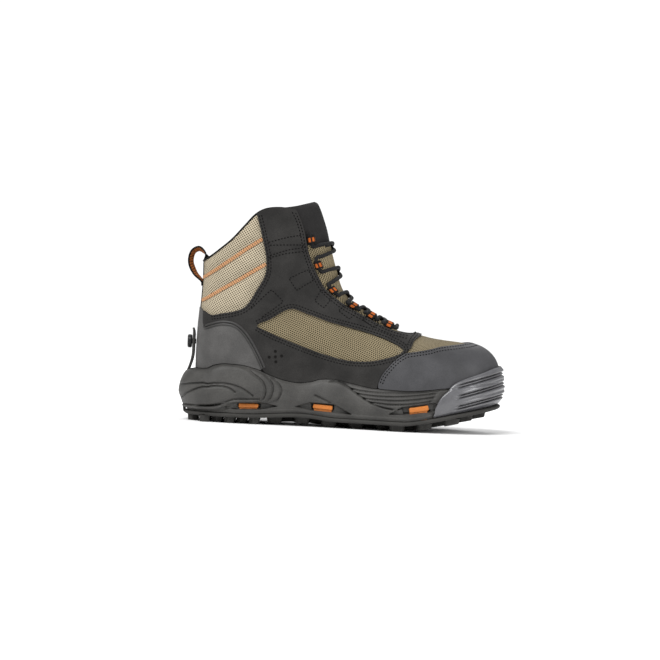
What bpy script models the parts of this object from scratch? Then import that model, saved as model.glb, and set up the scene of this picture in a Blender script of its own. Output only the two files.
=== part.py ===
"""A wading boot for the right foot, with its lugged rubber sole clipped on.

The boot stands empty on its sole. It points along +X with +Z up, and its outer side faces -Y.
The origin is the middle of the heel's contact with the floor. Places along the boot are shares
of its length, counted from the back of the midsole, and heights are shares of its height.
"""
import math
from collections import namedtuple

import bmesh
import bpy
import numpy as np
from mathutils import Matrix, Vector

# Driving dimensions, in metres
BOOT_LENGTH = 0.3215
BOOT_HEIGHT = 0.223
BALL_WIDTH = 0.116
TOE_SWING = 0.0155
HEEL_SEAT = 0.0365

# The upper
UPPER_WALL = 0.0025
OVERLAY_WALL = 0.0012
TOE_CAP_WALL = 0.0015
HEEL_ROUND = 0.045
TOE_ROUND = 0.064
SHAFT_FRONT_ROUND = 0.058
ROUNDNESS = 2.25
SHAFT_LEAN = 0.55
SHAFT_RISE = 0.31
RIDGE_SHARE = 0.93
OVERLAY_LIFT = 0.00045
SEAM = 0.0002
RIM_CLEAR = 0.0013

# The midsole and the sole under it
HEEL_CUP = 0.0126
SIDE_CUP = 0.0062
TOE_CUP = 0.0068
RIB_DEPTH = 0.0009
BUMPER_WALL = 0.003
BUMPER_STAND = 0.0024
BUMPER_LEAN = 0.07
BUMPER_FLOOR = 0.002
BUMPER_TIP = 0.35
SOLE_PLATE = 0.0045
LUG_HEIGHT = 0.006
LUG_RADIUS = 0.0078
LUG_PITCH_ALONG = 0.027
LUG_PITCH_ACROSS = 0.0202
LUG_LOBES = 4
LUG_LOBE = 0.11
LUG_DRAFT = 0.05
LUG_ROOT = 0.0012
HEEL_LUG_RADIUS = 0.0048
HEEL_LUG_PITCH = 0.0136
HEEL_LUG_SQUEEZE = 0.9
SMALL_LUG_SIDES = 5
SOLE_INSET = 0.002
INSOLE_THICKNESS = 0.0045

# Straps, clips and laces
CLIP_LENGTH = 0.0195
CLIP_WALL = 0.002
CLIP_DEPTH = 0.0022
CLIP_REACH = 0.004
STRAP_WALL = 0.0026
STRAP_HEAD_WIDTH = 0.0155
STRAP_NECK_WIDTH = 0.0085
STRAP_SLOT_DEPTH = 0.012
STRAP_TIP_RISE = 0.0135
STRAP_TIP_SHARE = 0.7
POST_HEIGHT = 0.078
POST_STEM_RADIUS = 0.0025
POST_HEAD_RADIUS = 0.0067
POST_HEAD_WALL = 0.0044
POST_HEAD_BEVEL = 0.0016
PULL_WIDTH = 0.009
PULL_WALL = 0.0014
TONGUE_WALL = 0.005
TONGUE_DROP = 0.003
TONGUE_CLEAR = 0.0022
LACE_RADIUS = 0.0018
LOOP_WIDTH = 0.0078
LOOP_REACH = 0.0080
LOOP_RISE = 0.0064
LOOP_WALL = 0.0011
LOOP_START = 0.0021
LOOP_LIFT = 0.0010
LACE_AT_RIDGE = -0.0004
BAR_LIFT = 0.0002
BAR_DROP = 0.040
LOOP_ACROSS = 0.93
LACE_STRAIGHT = 1.4

# Fits
SEAT_GAP = 0.00035
CURVE_GAP = 0.0006

# How finely the surfaces are divided
HEEL_COLUMNS = 6
THROAT_COLUMNS = 8
TOE_COLUMNS = 6
UPPER_ROWS = 8
BUMPER_ROWS_INSIDE = 7
COLUMN_BREAKS = (0.0, 0.24, 0.70, 1.0)
THROAT_GRID_ROWS = 61
THROAT_GRID_COLUMNS = 41
TONGUE_ROWS = 14
TONGUE_COLUMNS = 11
POST_SIDES = 14
LOOP_BEND_STEPS = 2
SOFT_EDGE = 35

LATERAL = -1
MEDIAL = 1

Spot = namedtuple("Spot", "along up")
Width = namedtuple("Width", "along half")
Swing = namedtuple("Swing", "along share")
Girth = namedtuple("Girth", "up half")
Level = namedtuple("Level", "up heel side toe rib")
Band = namedtuple("Band", "up out")
Clip = namedtuple("Clip", "name along up height")
Span = namedtuple("Span", "start end")
LugPlace = namedtuple("LugPlace", "x y radius lobes")
StrapSpot = namedtuple("StrapSpot", "climb width")
PlateEdge = namedtuple("PlateEdge", "down heel side toe")

# Where one shape gives way to another, as shares along the boot
SHAFT_FADE = Span(0.42, 0.72)
HEEL_PULL = Span(0.00, 0.45)
TOE_PULL = Span(0.72, 1.00)
RIBS_BEGIN = Span(0.46, 0.54)
RIBS_END = Span(0.76, 0.80)
BUMPER_TAKES_OVER = Span(0.756, 0.806)
BUMPER_THICKENS = Span(0.776, 0.826)
QUARTER_FOOT = Span(0.2525, 0.600)
COUNTER_FOOT = Span(0.242, 0.030)
TOE_CAP_FOOT = Span(1.060, 0.604)
TONGUE_SPAN = Span(0.393, 0.745)
BIG_LUGS = Span(0.290, 0.955)
LEAN_START = Spot(0.129, 0.18)

# Shares of the tongue's length and half width where it drops deeper, under the vamp and the eyestays
UNDER_VAMP = Span(0.80, 0.88)
UNDER_EYESTAY = Span(0.45, 0.75)

# Corners that lie clear of the boot, for the cutters' outlines
OUTSIDE_BACK = -0.06
OUTSIDE_TOP = Spot(0.60, 1.15)
OUTSIDE_FRONT = Spot(1.06, 0.46)
OUTSIDE_VAMP = Spot(0.80, 0.70)

# Half the sole's width before its ends are rounded, as a share of half the ball width
PLAN_ROWS = (
    Width(0.00, 0.78), Width(0.20, 0.79), Width(0.30, 0.735), Width(0.40, 0.67), Width(0.50, 0.725),
    Width(0.60, 0.88), Width(0.70, 1.00), Width(0.80, 0.965), Width(0.90, 0.93), Width(1.00, 0.86),
)

# How far the middle of the sole swings to the inner side, as a share of TOE_SWING
SWING_ROWS = (
    Swing(0.00, 0.0), Swing(0.45, 0.0), Swing(0.60, 0.27), Swing(0.75, 0.57), Swing(0.90, 0.85),
    Swing(1.00, 1.0),
)

# Half the shaft's width, as a share of half the ball width
SHAFT_ROWS = (
    Girth(0.20, 0.68), Girth(0.33, 0.66), Girth(0.45, 0.64), Girth(0.58, 0.655), Girth(0.72, 0.71),
    Girth(0.86, 0.755), Girth(1.03, 0.78),
)

# The front of the shaft, the instep's ridge and the toe, as seen from the side
FRONT_ROWS = (
    Spot(0.381, 1.040), Spot(0.393, 1.000), Spot(0.409, 0.960), Spot(0.429, 0.892),
    Spot(0.445, 0.807), Spot(0.457, 0.749), Spot(0.467, 0.704), Spot(0.477, 0.659),
    Spot(0.490, 0.617), Spot(0.507, 0.585), Spot(0.533, 0.557), Spot(0.568, 0.526),
    Spot(0.614, 0.492), Spot(0.661, 0.462), Spot(0.708, 0.437), Spot(0.757, 0.419),
    Spot(0.804, 0.410), Spot(0.851, 0.404), Spot(0.891, 0.396), Spot(0.922, 0.382),
    Spot(0.947, 0.359), Spot(0.964, 0.331), Spot(0.974, 0.298), Spot(0.9772, 0.262), Spot(0.9775, 0.150),
)

# The back of the upper, as seen from the side
BACK_ROWS = (
    Spot(0.040, 0.050), Spot(0.040, 0.202), Spot(0.039, 0.300), Spot(0.040, 0.413),
    Spot(0.043, 0.493), Spot(0.046, 0.578), Spot(0.047, 0.650), Spot(0.046, 0.704),
    Spot(0.048, 0.785), Spot(0.051, 1.040),
)

COLLAR_ROWS = (
    Spot(0.046, 0.715), Spot(0.067, 0.733), Spot(0.098, 0.769), Spot(0.134, 0.816),
    Spot(0.170, 0.877), Spot(0.205, 0.934), Spot(0.232, 0.956), Spot(0.275, 0.965), Spot(0.322, 0.959),
)

THROAT_ROWS = (
    Spot(0.322, 0.959), Spot(0.337, 0.919), Spot(0.350, 0.870), Spot(0.367, 0.771),
    Spot(0.380, 0.722), Spot(0.400, 0.667), Spot(0.424, 0.614), Spot(0.461, 0.570),
    Spot(0.496, 0.537), Spot(0.549, 0.499), Spot(0.599, 0.464), Spot(0.645, 0.440),
    Spot(0.689, 0.427), Spot(0.722, 0.431),
)

TONGUE_EDGE_ROWS = (
    Spot(0.283, 0.968), Spot(0.300, 0.870), Spot(0.321, 0.771), Spot(0.337, 0.718),
    Spot(0.356, 0.660), Spot(0.381, 0.600), Spot(0.421, 0.543), Spot(0.468, 0.498),
    Spot(0.524, 0.460), Spot(0.577, 0.425), Spot(0.640, 0.398), Spot(0.700, 0.384),
)

# The top edge of the midsole
RIM_ROWS = (
    Spot(0.000, 0.232), Spot(0.040, 0.232), Spot(0.074, 0.235), Spot(0.098, 0.252),
    Spot(0.131, 0.261), Spot(0.175, 0.259), Spot(0.222, 0.246), Spot(0.277, 0.216),
    Spot(0.318, 0.199), Spot(0.359, 0.192), Spot(0.393, 0.198), Spot(0.430, 0.213),
    Spot(0.461, 0.215), Spot(0.517, 0.202), Spot(0.599, 0.184), Spot(0.688, 0.181),
    Spot(0.806, 0.199), Spot(0.907, 0.224), Spot(1.000, 0.247),
)

# How far the sole rises from the floor, with its toe spring
RISE_ROWS = (
    Spot(0.000, 0.000), Spot(0.190, 0.000), Spot(0.365, 0.013), Spot(0.490, 0.000),
    Spot(0.680, 0.000), Spot(0.767, 0.018), Spot(0.866, 0.050), Spot(0.938, 0.073), Spot(1.000, 0.094),
)

# The midsole's thickness under the foot
FOOTBED_ROWS = (
    Spot(0.000, 0.074), Spot(0.250, 0.070), Spot(0.450, 0.058), Spot(0.700, 0.042), Spot(1.000, 0.040),
)

# The midsole's side, from its foot to its rim: shares of the cup's insets, and where ribs sink
MIDSOLE_LEVELS = (
    Level(0.00, 0.39, 0.50, 1.10, 0.0), Level(0.10, 0.30, 0.24, 0.98, 0.0),
    Level(0.13, 0.33, 0.40, 0.94, 0.0), Level(0.29, 0.16, 0.18, 0.74, 0.0),
    Level(0.37, 0.05, 0.07, 0.67, 1.0), Level(0.45, 0.00, 0.00, 0.61, 0.0),
    Level(0.53, 0.02, 0.02, 0.60, 1.0), Level(0.61, 0.06, 0.06, 0.60, 0.0),
    Level(0.69, 0.13, 0.13, 0.60, 1.0), Level(0.90, 0.45, 0.44, 0.60, 0.0),
    Level(1.00, 0.86, 0.88, 0.88, 0.0),
)

# The toe bumper's top edge, and how far its ribs stand out of its wall
BUMPER_ROWS = (
    Spot(0.776, 0.112), Spot(0.790, 0.160), Spot(0.813, 0.197), Spot(0.834, 0.226),
    Spot(0.865, 0.248), Spot(0.916, 0.275), Spot(0.965, 0.302), Spot(1.000, 0.309),
)
BUMPER_BANDS = (
    Band(0.00, 0.55), Band(0.20, 1.00), Band(0.24, 0.70), Band(0.28, 1.00), Band(0.48, 1.10),
    Band(0.52, 0.78), Band(0.56, 1.08), Band(0.74, 1.00), Band(0.78, 0.72), Band(0.82, 0.95),
    Band(1.00, 0.62),
)

# Outlines of the overlays, as seen from the side
COUNTER_LINE = (
    Spot(0.044, 0.505), Spot(0.053, 0.492), Spot(0.057, 0.440), Spot(0.064, 0.412),
    Spot(0.081, 0.420), Spot(0.104, 0.431), Spot(0.125, 0.435), Spot(0.150, 0.430),
    Spot(0.177, 0.403), Spot(0.202, 0.357), Spot(0.227, 0.295), Spot(0.243, 0.248),
)
TOE_CAP_BACK = (
    Spot(0.602, 0.170), Spot(0.604, 0.212), Spot(0.614, 0.248), Spot(0.631, 0.281),
    Spot(0.654, 0.318), Spot(0.682, 0.347),
)
TOE_CAP_TOP = (
    Spot(0.682, 0.347), Spot(0.718, 0.356), Spot(0.753, 0.365), Spot(0.788, 0.379),
    Spot(0.841, 0.391), Spot(0.891, 0.403), Spot(0.940, 0.420),
)
VAMP_BACK = (
    Spot(0.682, 0.347), Spot(0.700, 0.372), Spot(0.708, 0.400), Spot(0.722, 0.418),
    Spot(0.745, 0.440), Spot(0.760, 0.470),
)
MID_WINDOW = (
    Spot(0.222, 0.438), Spot(0.263, 0.470), Spot(0.302, 0.508), Spot(0.327, 0.520),
    Spot(0.384, 0.497), Spot(0.437, 0.473), Spot(0.504, 0.449), Spot(0.570, 0.426),
    Spot(0.630, 0.398), Spot(0.676, 0.360), Spot(0.664, 0.342), Spot(0.626, 0.321),
    Spot(0.574, 0.304), Spot(0.509, 0.303), Spot(0.442, 0.322), Spot(0.376, 0.350),
    Spot(0.309, 0.383), Spot(0.255, 0.413),
)
COLLAR_WINDOW = (
    Spot(-0.050, 0.495), Spot(0.052, 0.495), Spot(0.080, 0.474), Spot(0.109, 0.482),
    Spot(0.179, 0.514), Spot(0.217, 0.598), Spot(0.240, 0.667), Spot(0.241, 0.732),
    Spot(0.224, 0.836), Spot(0.208, 0.915), Spot(0.190, 1.000), Spot(-0.050, 1.000),
)

CLIPS = (
    Clip("heel", 0.209, 0.084, 0.0046), Clip("arch", 0.434, 0.091, 0.006), Clip("ball", 0.736, 0.101, 0.0086),
)

# The sole plate's edge from bottom to top: shares of its wall and of its inset
PLATE_EDGES = (
    PlateEdge(1.00, 2.2, 1.6, 2.6), PlateEdge(0.75, 1.6, 1.0, 2.0), PlateEdge(0.25, 1.6, 1.0, 2.0),
    PlateEdge(0.00, 2.0, 1.3, 2.4),
)

# The heel strap beside the midsole: shares of the midsole's height, and widths in neck widths
STRAP_ROWS = (
    StrapSpot(-0.05, 1.60), StrapSpot(0.08, 1.15), StrapSpot(0.20, 1.00), StrapSpot(0.32, 1.00),
    StrapSpot(0.42, 1.00), StrapSpot(0.52, 1.00), StrapSpot(0.65, 1.00), StrapSpot(0.78, 1.05),
    StrapSpot(0.90, 1.25),
)

# Where the lace loops sit on the throat's edge, from the top one down
LOOP_ALONG = (0.358, 0.384, 0.435, 0.502, 0.562, 0.622)

# The lace's bar under the lowest loops and its crossings, as shares across and down the throat
BAR_SHARES = (-0.12, 0.15, 0.38)
CROSSING_SHARES = (0.17, 0.34, 0.50, 0.66, 0.83)
CROSSING_CLIMB = Span(0.24, 0.76)

# The pull loop's path behind the collar, from its lower end to its upper one
PULL_ROWS = (
    Spot(0.0428, 0.600), Spot(0.0418, 0.620), Spot(0.019, 0.655), Spot(0.004, 0.705),
    Spot(0.010, 0.750), Spot(0.028, 0.765), Spot(0.046, 0.748), Spot(0.053, 0.728),
)


def smoothstep(value):
    share = np.clip(value, 0.0, 1.0)
    return share * share * (3.0 - 2.0 * share)


def over_span(value, span):
    """Rise smoothly from 0 at the span's start to 1 at its end."""
    return smoothstep((value - span.start) / (span.end - span.start))


def monotone_curve(rows):
    """Return a function through (place, value) rows that never overshoots between two of them."""
    places = np.array([row[0] for row in rows])
    values = np.array([row[1] for row in rows])
    steps = np.diff(places)
    slopes = np.diff(values) / steps
    tangents = np.zeros_like(values)
    tangents[0] = slopes[0]
    tangents[-1] = slopes[-1]
    for i in range(1, len(places) - 1):
        if slopes[i - 1] * slopes[i] > 0:
            before = 2 * steps[i] + steps[i - 1]
            after = steps[i] + 2 * steps[i - 1]
            tangents[i] = (before + after) / (before / slopes[i - 1] + after / slopes[i])

    def value_at(place):
        place = np.clip(place, places[0], places[-1])
        span = np.clip(np.searchsorted(places, place, side="right") - 1, 0, len(steps) - 1)
        s = (place - places[span]) / steps[span]
        start = (1 + 2 * s) * (1 - s) ** 2 * values[span]
        start_slope = s * (1 - s) ** 2 * steps[span] * tangents[span]
        end = s * s * (3 - 2 * s) * values[span + 1]
        end_slope = s * s * (s - 1) * steps[span] * tangents[span + 1]
        return start + start_slope + end + end_slope

    return value_at


def flowing_line(spots, per_span=12, closed=False):
    """Return points on a smooth curve through side-view spots, in metres."""
    knots = [np.array([spot.along * BOOT_LENGTH, spot.up * BOOT_HEIGHT]) for spot in spots]
    if closed:
        knots = [knots[-1]] + knots + [knots[0], knots[1]]
    else:
        knots = [2 * knots[0] - knots[1]] + knots + [2 * knots[-1] - knots[-2]]
    points = []
    for i in range(1, len(knots) - 2):
        p0, p1, p2, p3 = knots[i - 1:i + 3]
        t1 = np.linalg.norm(p1 - p0) ** 0.5
        t2 = t1 + np.linalg.norm(p2 - p1) ** 0.5
        t3 = t2 + np.linalg.norm(p3 - p2) ** 0.5
        for t in np.linspace(t1, t2, per_span, endpoint=False):
            a1 = (t1 - t) / t1 * p0 + t / t1 * p1
            a2 = (t2 - t) / (t2 - t1) * p1 + (t - t1) / (t2 - t1) * p2
            a3 = (t3 - t) / (t3 - t2) * p2 + (t - t2) / (t3 - t2) * p3
            b1 = (t2 - t) / t2 * a1 + t / t2 * a2
            b2 = (t3 - t) / (t3 - t1) * a2 + (t - t1) / (t3 - t1) * a3
            points.append((t2 - t) / (t2 - t1) * b1 + (t - t1) / (t2 - t1) * b2)
    if not closed:
        points.append(knots[-2])
    return np.array(points)


def arc_lengths(points):
    steps = np.linalg.norm(np.diff(points, axis=0), axis=1)
    return np.concatenate([[0.0], np.cumsum(steps)])


def along_arc(points, shares):
    """Return the points that lie at the given shares of a polyline's length."""
    lengths = arc_lengths(points)
    wanted = np.asarray(shares) * lengths[-1]
    return np.stack([np.interp(wanted, lengths, points[:, k]) for k in range(points.shape[1])], axis=-1)


def metres(rows, named_size):
    """Return rows as (place in metres, value in metres)."""
    return [(row[0] * BOOT_LENGTH, row[1] * named_size) for row in rows]


plan_width = monotone_curve(metres(PLAN_ROWS, BALL_WIDTH / 2))
plan_middle = monotone_curve(metres(SWING_ROWS, TOE_SWING))
rim_height = monotone_curve(metres(RIM_ROWS, BOOT_HEIGHT))
sole_rise = monotone_curve(metres(RISE_ROWS, BOOT_HEIGHT))
footbed_height = monotone_curve(metres(FOOTBED_ROWS, BOOT_HEIGHT))
bumper_top = monotone_curve(metres(BUMPER_ROWS, BOOT_HEIGHT))
shaft_width = monotone_curve([(row.up * BOOT_HEIGHT, row.half * BALL_WIDTH / 2) for row in SHAFT_ROWS])
back_place = monotone_curve([(row.up * BOOT_HEIGHT, row.along * BOOT_LENGTH) for row in BACK_ROWS])
FRONT_LINE = flowing_line(FRONT_ROWS)


def ridge_height(x):
    """Height of the boot's front and top line above a place along it."""
    return np.interp(x, FRONT_LINE[:, 0], FRONT_LINE[:, 1])


def front_place(z):
    """Place of the boot's front and top line at a height."""
    return np.interp(z, FRONT_LINE[::-1, 1], FRONT_LINE[::-1, 0])


def base_height(x):
    """Height of the midsole's underside."""
    return SOLE_PLATE + LUG_HEIGHT + sole_rise(x)


def floor_height(x):
    """Height of the bottom of the midsole's cup, which carries the insole."""
    return base_height(x) + footbed_height(x)


def round_off(share, roundness=ROUNDNESS):
    """Rise from 0 to 1 as the quarter of a superellipse."""
    left = 1.0 - np.clip(share, 0.0, 1.0)
    return (1.0 - left ** roundness) ** (1.0 / roundness)


def plan_half(x, heel_inset, side_inset, toe_inset):
    """Half the width of the sole's outline, moved inwards by three insets."""
    heel = round_off((x - heel_inset) / HEEL_ROUND)
    toe = round_off((BOOT_LENGTH - toe_inset - x) / TOE_ROUND)
    return np.maximum(plan_width(x) - side_inset, 0.0) * heel * toe


UPPER_HEEL = HEEL_CUP + SEAT_GAP
UPPER_SIDE = SIDE_CUP + SEAT_GAP
UPPER_TOE = BOOT_LENGTH - FRONT_LINE[-1, 0]
THROAT_TOP = 0.402
THROAT_END = THROAT_ROWS[-1].along * BOOT_LENGTH
RIDGE_END = RIDGE_SHARE * BOOT_LENGTH
LOOP_MIDDLE = LOOP_START + LOOP_REACH / 2


def upper_half_width(x, z):
    """Half the width of the upper's outer face, seen from the side at x and z."""
    rim = rim_height(x)
    above = z - rim
    to_shaft = smoothstep(above / (SHAFT_RISE * BOOT_HEIGHT))
    to_shaft = to_shaft * (1.0 - over_span(x / BOOT_LENGTH, SHAFT_FADE))
    width = (plan_width(x) - UPPER_SIDE) * (1.0 - to_shaft) + shaft_width(z) * to_shaft
    heel = round_off((x - back_place(z)) / HEEL_ROUND)
    toe = round_off((FRONT_LINE[-1, 0] - x) / TOE_ROUND)
    room = np.maximum(ridge_height(x) - rim, 0.001)
    climb = np.clip(above / room, 0.0, 1.0)
    dome = (1.0 - climb ** ROUNDNESS) ** (1.0 / ROUNDNESS)
    tube = round_off((front_place(z) - x) / SHAFT_FRONT_ROUND, 2.0)
    lean_line = LEAN_START.up * BOOT_HEIGHT + SHAFT_LEAN * (x - LEAN_START.along * BOOT_LENGTH)
    in_shaft = smoothstep((z - lean_line) / (SHAFT_RISE * BOOT_HEIGHT))
    front = dome * toe * (1.0 - in_shaft) + tube * in_shaft
    return np.maximum(width, 0.0) * heel * front


def outline_shares():
    """Shares along the sole for its columns, evenly spaced on the arc of each of three stretches."""
    dense = 0.5 - 0.5 * np.cos(np.linspace(0.0, math.pi, 801))
    x = dense * BOOT_LENGTH
    arc = arc_lengths(np.stack([x, plan_half(x, 0.0, 0.0, 0.0)], axis=1))
    breaks = np.interp(COLUMN_BREAKS, dense, arc)
    wanted = [0.0]
    for start, end, count in zip(breaks, breaks[1:], (HEEL_COLUMNS, THROAT_COLUMNS, TOE_COLUMNS)):
        wanted += list(np.linspace(start, end, count + 1)[1:])
    return np.interp(wanted, arc, dense)


SHARES = outline_shares()


def lifted(side_points):
    """Turn side-view points into (place, half width, height)."""
    x = side_points[:, 0]
    z = side_points[:, 1]
    return np.stack([x, upper_half_width(x, z), z], axis=1)


def upper_top_edge():
    """Points of the collar, the throat's edge and the ridge of the toe, one for each column."""
    collar = flowing_line(COLLAR_ROWS, 24)
    collar[0, 0] = back_place(collar[0, 1])
    throat = flowing_line(THROAT_ROWS, 24)
    throat[-1, 1] = ridge_height(throat[-1, 0])
    x = np.linspace(THROAT_END, RIDGE_END, 60)
    ridge = np.stack([x, ridge_height(x)], axis=1)
    edge = []
    for line, count in ((collar, HEEL_COLUMNS), (throat, THROAT_COLUMNS), (ridge, TOE_COLUMNS)):
        solid = lifted(line)
        if line is ridge:
            solid[:, 1] = 0.0
        points = along_arc(solid, np.linspace(0.0, 1.0, count + 1))
        edge += list(points if not edge else points[1:])
    edge[0][1] = 0.0
    return np.array(edge)


def upper_columns():
    """The upper's outer face as columns of (place, half width, height), from cup to top edge."""
    top = upper_top_edge()
    tip_z = rim_height(FRONT_LINE[-1, 0])
    on_front = FRONT_LINE[(FRONT_LINE[:, 0] > RIDGE_END) & (FRONT_LINE[:, 1] > tip_z)][::-1]
    on_front = np.vstack([[front_place(tip_z), tip_z], on_front, [RIDGE_END, ridge_height(RIDGE_END)]])
    v = 1.0 - (1.0 - np.linspace(0.0, 1.0, 121)) ** 2
    toe_bow = along_arc(on_front, v)
    toe_bow -= on_front[0] + v[:, None] * (on_front[-1] - on_front[0])
    columns = []
    last = len(SHARES) - 1
    for j, share in enumerate(SHARES):
        x0 = UPPER_HEEL + share * (FRONT_LINE[-1, 0] - UPPER_HEEL)
        z0 = rim_height(x0)
        if j == 0:
            x0 = back_place(z0)
        x1, _, z1 = top[j]
        x = x0 + v * (x1 - x0)
        z = z0 + v * (z1 - z0)
        heel_pull = 1.0 - over_span(share, HEEL_PULL)
        x = x + heel_pull * (back_place(z) - (1.0 - v) * back_place(z0) - v * back_place(z1))
        toe_pull = over_span(share, TOE_PULL)
        x = x + toe_pull * toe_bow[:, 0]
        z = z + toe_pull * toe_bow[:, 1]
        half = upper_half_width(x, z)
        if j in (0, last):
            half = np.zeros_like(half)
        if j >= HEEL_COLUMNS + THROAT_COLUMNS:
            half[-1] = 0.0
        wall = np.stack([x, half, z], axis=1)
        wall = along_arc(wall, np.linspace(0.0, 1.0, UPPER_ROWS + 1))
        foot = np.array([[x0, half[0], floor_height(x0) + SEAT_GAP]])
        columns.append(np.vstack([foot, wall]))
    return columns


def mirrored_sheet(columns):
    """Return a bmesh of the columns on both sides of the boot's curved middle, facing out."""
    sheet = bmesh.new()
    for side in (LATERAL, MEDIAL):
        rows = []
        for column in columns:
            rows.append([sheet.verts.new((x, plan_middle(x) + side * y, z)) for x, y, z in column])
        for left, right in zip(rows, rows[1:]):
            for k in range(len(left) - 1):
                corners = (left[k], right[k], right[k + 1], left[k + 1])
                sheet.faces.new(corners if side == LATERAL else corners[::-1])
    bmesh.ops.remove_doubles(sheet, verts=sheet.verts, dist=1e-5)
    bmesh.ops.triangulate(sheet, faces=sheet.faces)
    sheet.normal_update()
    return sheet


def new_material(name, colour, roughness, metallic=0.0):
    material = bpy.data.materials.new(name)
    material.use_nodes = True
    shader = material.node_tree.nodes["Principled BSDF"]
    shader.inputs["Base Color"].default_value = (*colour, 1.0)
    shader.inputs["Roughness"].default_value = roughness
    shader.inputs["Metallic"].default_value = metallic
    return material


def new_object(name, shape, material=None, cutter=False):
    """Make an object from a bmesh, hung on the boot's root, and free the bmesh."""
    mesh = bpy.data.meshes.new(name)
    shape.to_mesh(mesh)
    shape.free()
    item = bpy.data.objects.new(name, mesh)
    (CUTTERS if cutter else PARTS).objects.link(item)
    item.parent = ROOT
    if cutter:
        item.hide_render = True
        item.display_type = "WIRE"
    if material:
        mesh.materials.append(material)
        mesh.shade_smooth()
        mesh.set_sharp_from_angle(angle=math.radians(SOFT_EDGE))
    return item


def thicken(item, thickness, outwards):
    wall = item.modifiers.new("wall", "SOLIDIFY")
    wall.thickness = thickness
    wall.offset = 1.0 if outwards else -1.0
    wall.use_even_offset = True
    wall.use_quality_normals = True
    return item


def cut(item, cutter, operation):
    step = item.modifiers.new(cutter.name, "BOOLEAN")
    step.operation = operation
    step.solver = "EXACT"
    step.object = cutter
    return item


def prism(name, outline, half_depth=0.2):
    """A cutter with a side-view outline, drawn out to both sides of the boot."""
    shape = bmesh.new()
    face = shape.faces.new([shape.verts.new((x, -half_depth, z)) for x, z in outline])
    drawn = bmesh.ops.extrude_face_region(shape, geom=[face])
    for vert in (v for v in drawn["geom"] if isinstance(v, bmesh.types.BMVert)):
        vert.co.y = half_depth
    bmesh.ops.recalc_face_normals(shape, faces=shape.faces)
    return new_object(name, shape, cutter=True)


def outline_part(spots, along, up):
    """An overlay's outline through its spots, moved a little to leave a seam."""
    return [(spot.along * BOOT_LENGTH + along, spot.up * BOOT_HEIGHT + up) for spot in spots]


def rim_line(span, count):
    """Side-view points just above the midsole's rim."""
    places = np.linspace(span.start * BOOT_LENGTH, span.end * BOOT_LENGTH, count)
    return [(x, rim_height(x) + RIM_CLEAR) for x in places]


def ring_loft(rings):
    """Close a stack of outline rings, each (x, half width, z) by column, into one body."""
    shape = bmesh.new()
    loops = []
    for ring in rings:
        pairs = []
        for x, half, z in ring:
            left = shape.verts.new((x, plan_middle(x) - half, z))
            right = left if half < 1e-7 else shape.verts.new((x, plan_middle(x) + half, z))
            pairs.append((left, right))
        loops.append(pairs)
    for low, high in zip(loops, loops[1:]):
        for j in range(len(low) - 1):
            add_face(shape, low[j][0], low[j + 1][0], high[j + 1][0], high[j][0])
            add_face(shape, low[j + 1][1], low[j][1], high[j][1], high[j + 1][1])
    for pairs, order in ((loops[0], -1), (loops[-1], 1)):
        for (left, right), (next_left, next_right) in zip(pairs, pairs[1:]):
            add_face(shape, *(left, next_left, next_right, right)[::order])
    bmesh.ops.triangulate(shape, faces=shape.faces)
    bmesh.ops.recalc_face_normals(shape, faces=shape.faces)
    return shape


def add_face(shape, *corners):
    """Add a face, leaving out corners that coincide."""
    kept = list(dict.fromkeys(corners))
    if len(kept) > 2:
        shape.faces.new(kept)


def outline_ring(heel_inset, side_inset, toe_inset, height):
    """One ring of the sole's outline: insets as numbers or per-column arrays, height as a function."""
    end = BOOT_LENGTH - toe_inset
    x = heel_inset + SHARES * (end - heel_inset)
    half = plan_half(x, heel_inset, side_inset, toe_inset)
    half[0] = 0.0
    half[-1] = 0.0
    return np.stack([x, half, height(x)], axis=1)


def make_upper(columns, material):
    return thicken(new_object("upper", mirrored_sheet(columns), material), UPPER_WALL, outwards=False)


def overlay(name, columns, lift, wall, material):
    """A second skin over the whole upper, ready to be cut to an outline."""
    sheet = mirrored_sheet(columns)
    for vert in sheet.verts:
        vert.co += vert.normal * lift
    return thicken(new_object(name, sheet, material), wall, outwards=True)


def make_quarter(columns, material):
    """The black overlay: eyestay, collar and quarter, with mesh windows at the ankle and the collar."""
    quarter = overlay("quarter_overlay", columns, OVERLAY_LIFT, OVERLAY_WALL, material)
    outline = outline_part([Spot(OUTSIDE_BACK, COUNTER_LINE[0].up)], 0.0, SEAM)
    outline += outline_part(COUNTER_LINE, SEAM, SEAM)
    outline += rim_line(QUARTER_FOOT, 14)
    outline += outline_part(TOE_CAP_BACK[1:], -SEAM, SEAM)
    outline += outline_part(VAMP_BACK[1:], -SEAM, SEAM)
    outline += outline_part((OUTSIDE_VAMP, OUTSIDE_TOP, Spot(OUTSIDE_BACK, OUTSIDE_TOP.up)), 0.0, 0.0)
    cut(quarter, prism("collar_window", outline_part(COLLAR_WINDOW, 0.0, 0.0)), "DIFFERENCE")
    cut(quarter, prism("mid_window", outline_part(MID_WINDOW, 0.0, 0.0)), "DIFFERENCE")
    return cut(quarter, prism("quarter_outline", outline), "INTERSECT")


def make_counter(columns, material):
    counter = overlay("heel_counter", columns, OVERLAY_LIFT, OVERLAY_WALL, material)
    outline = outline_part([Spot(OUTSIDE_BACK, COUNTER_LINE[0].up)], 0.0, 0.0)
    outline += outline_part(COUNTER_LINE[:-1], -SEAM, -SEAM)
    outline += rim_line(COUNTER_FOOT, 12)
    outline += [(OUTSIDE_BACK * BOOT_LENGTH, rim_height(0.0) + RIM_CLEAR)]
    return cut(counter, prism("counter_outline", outline), "INTERSECT")


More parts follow.
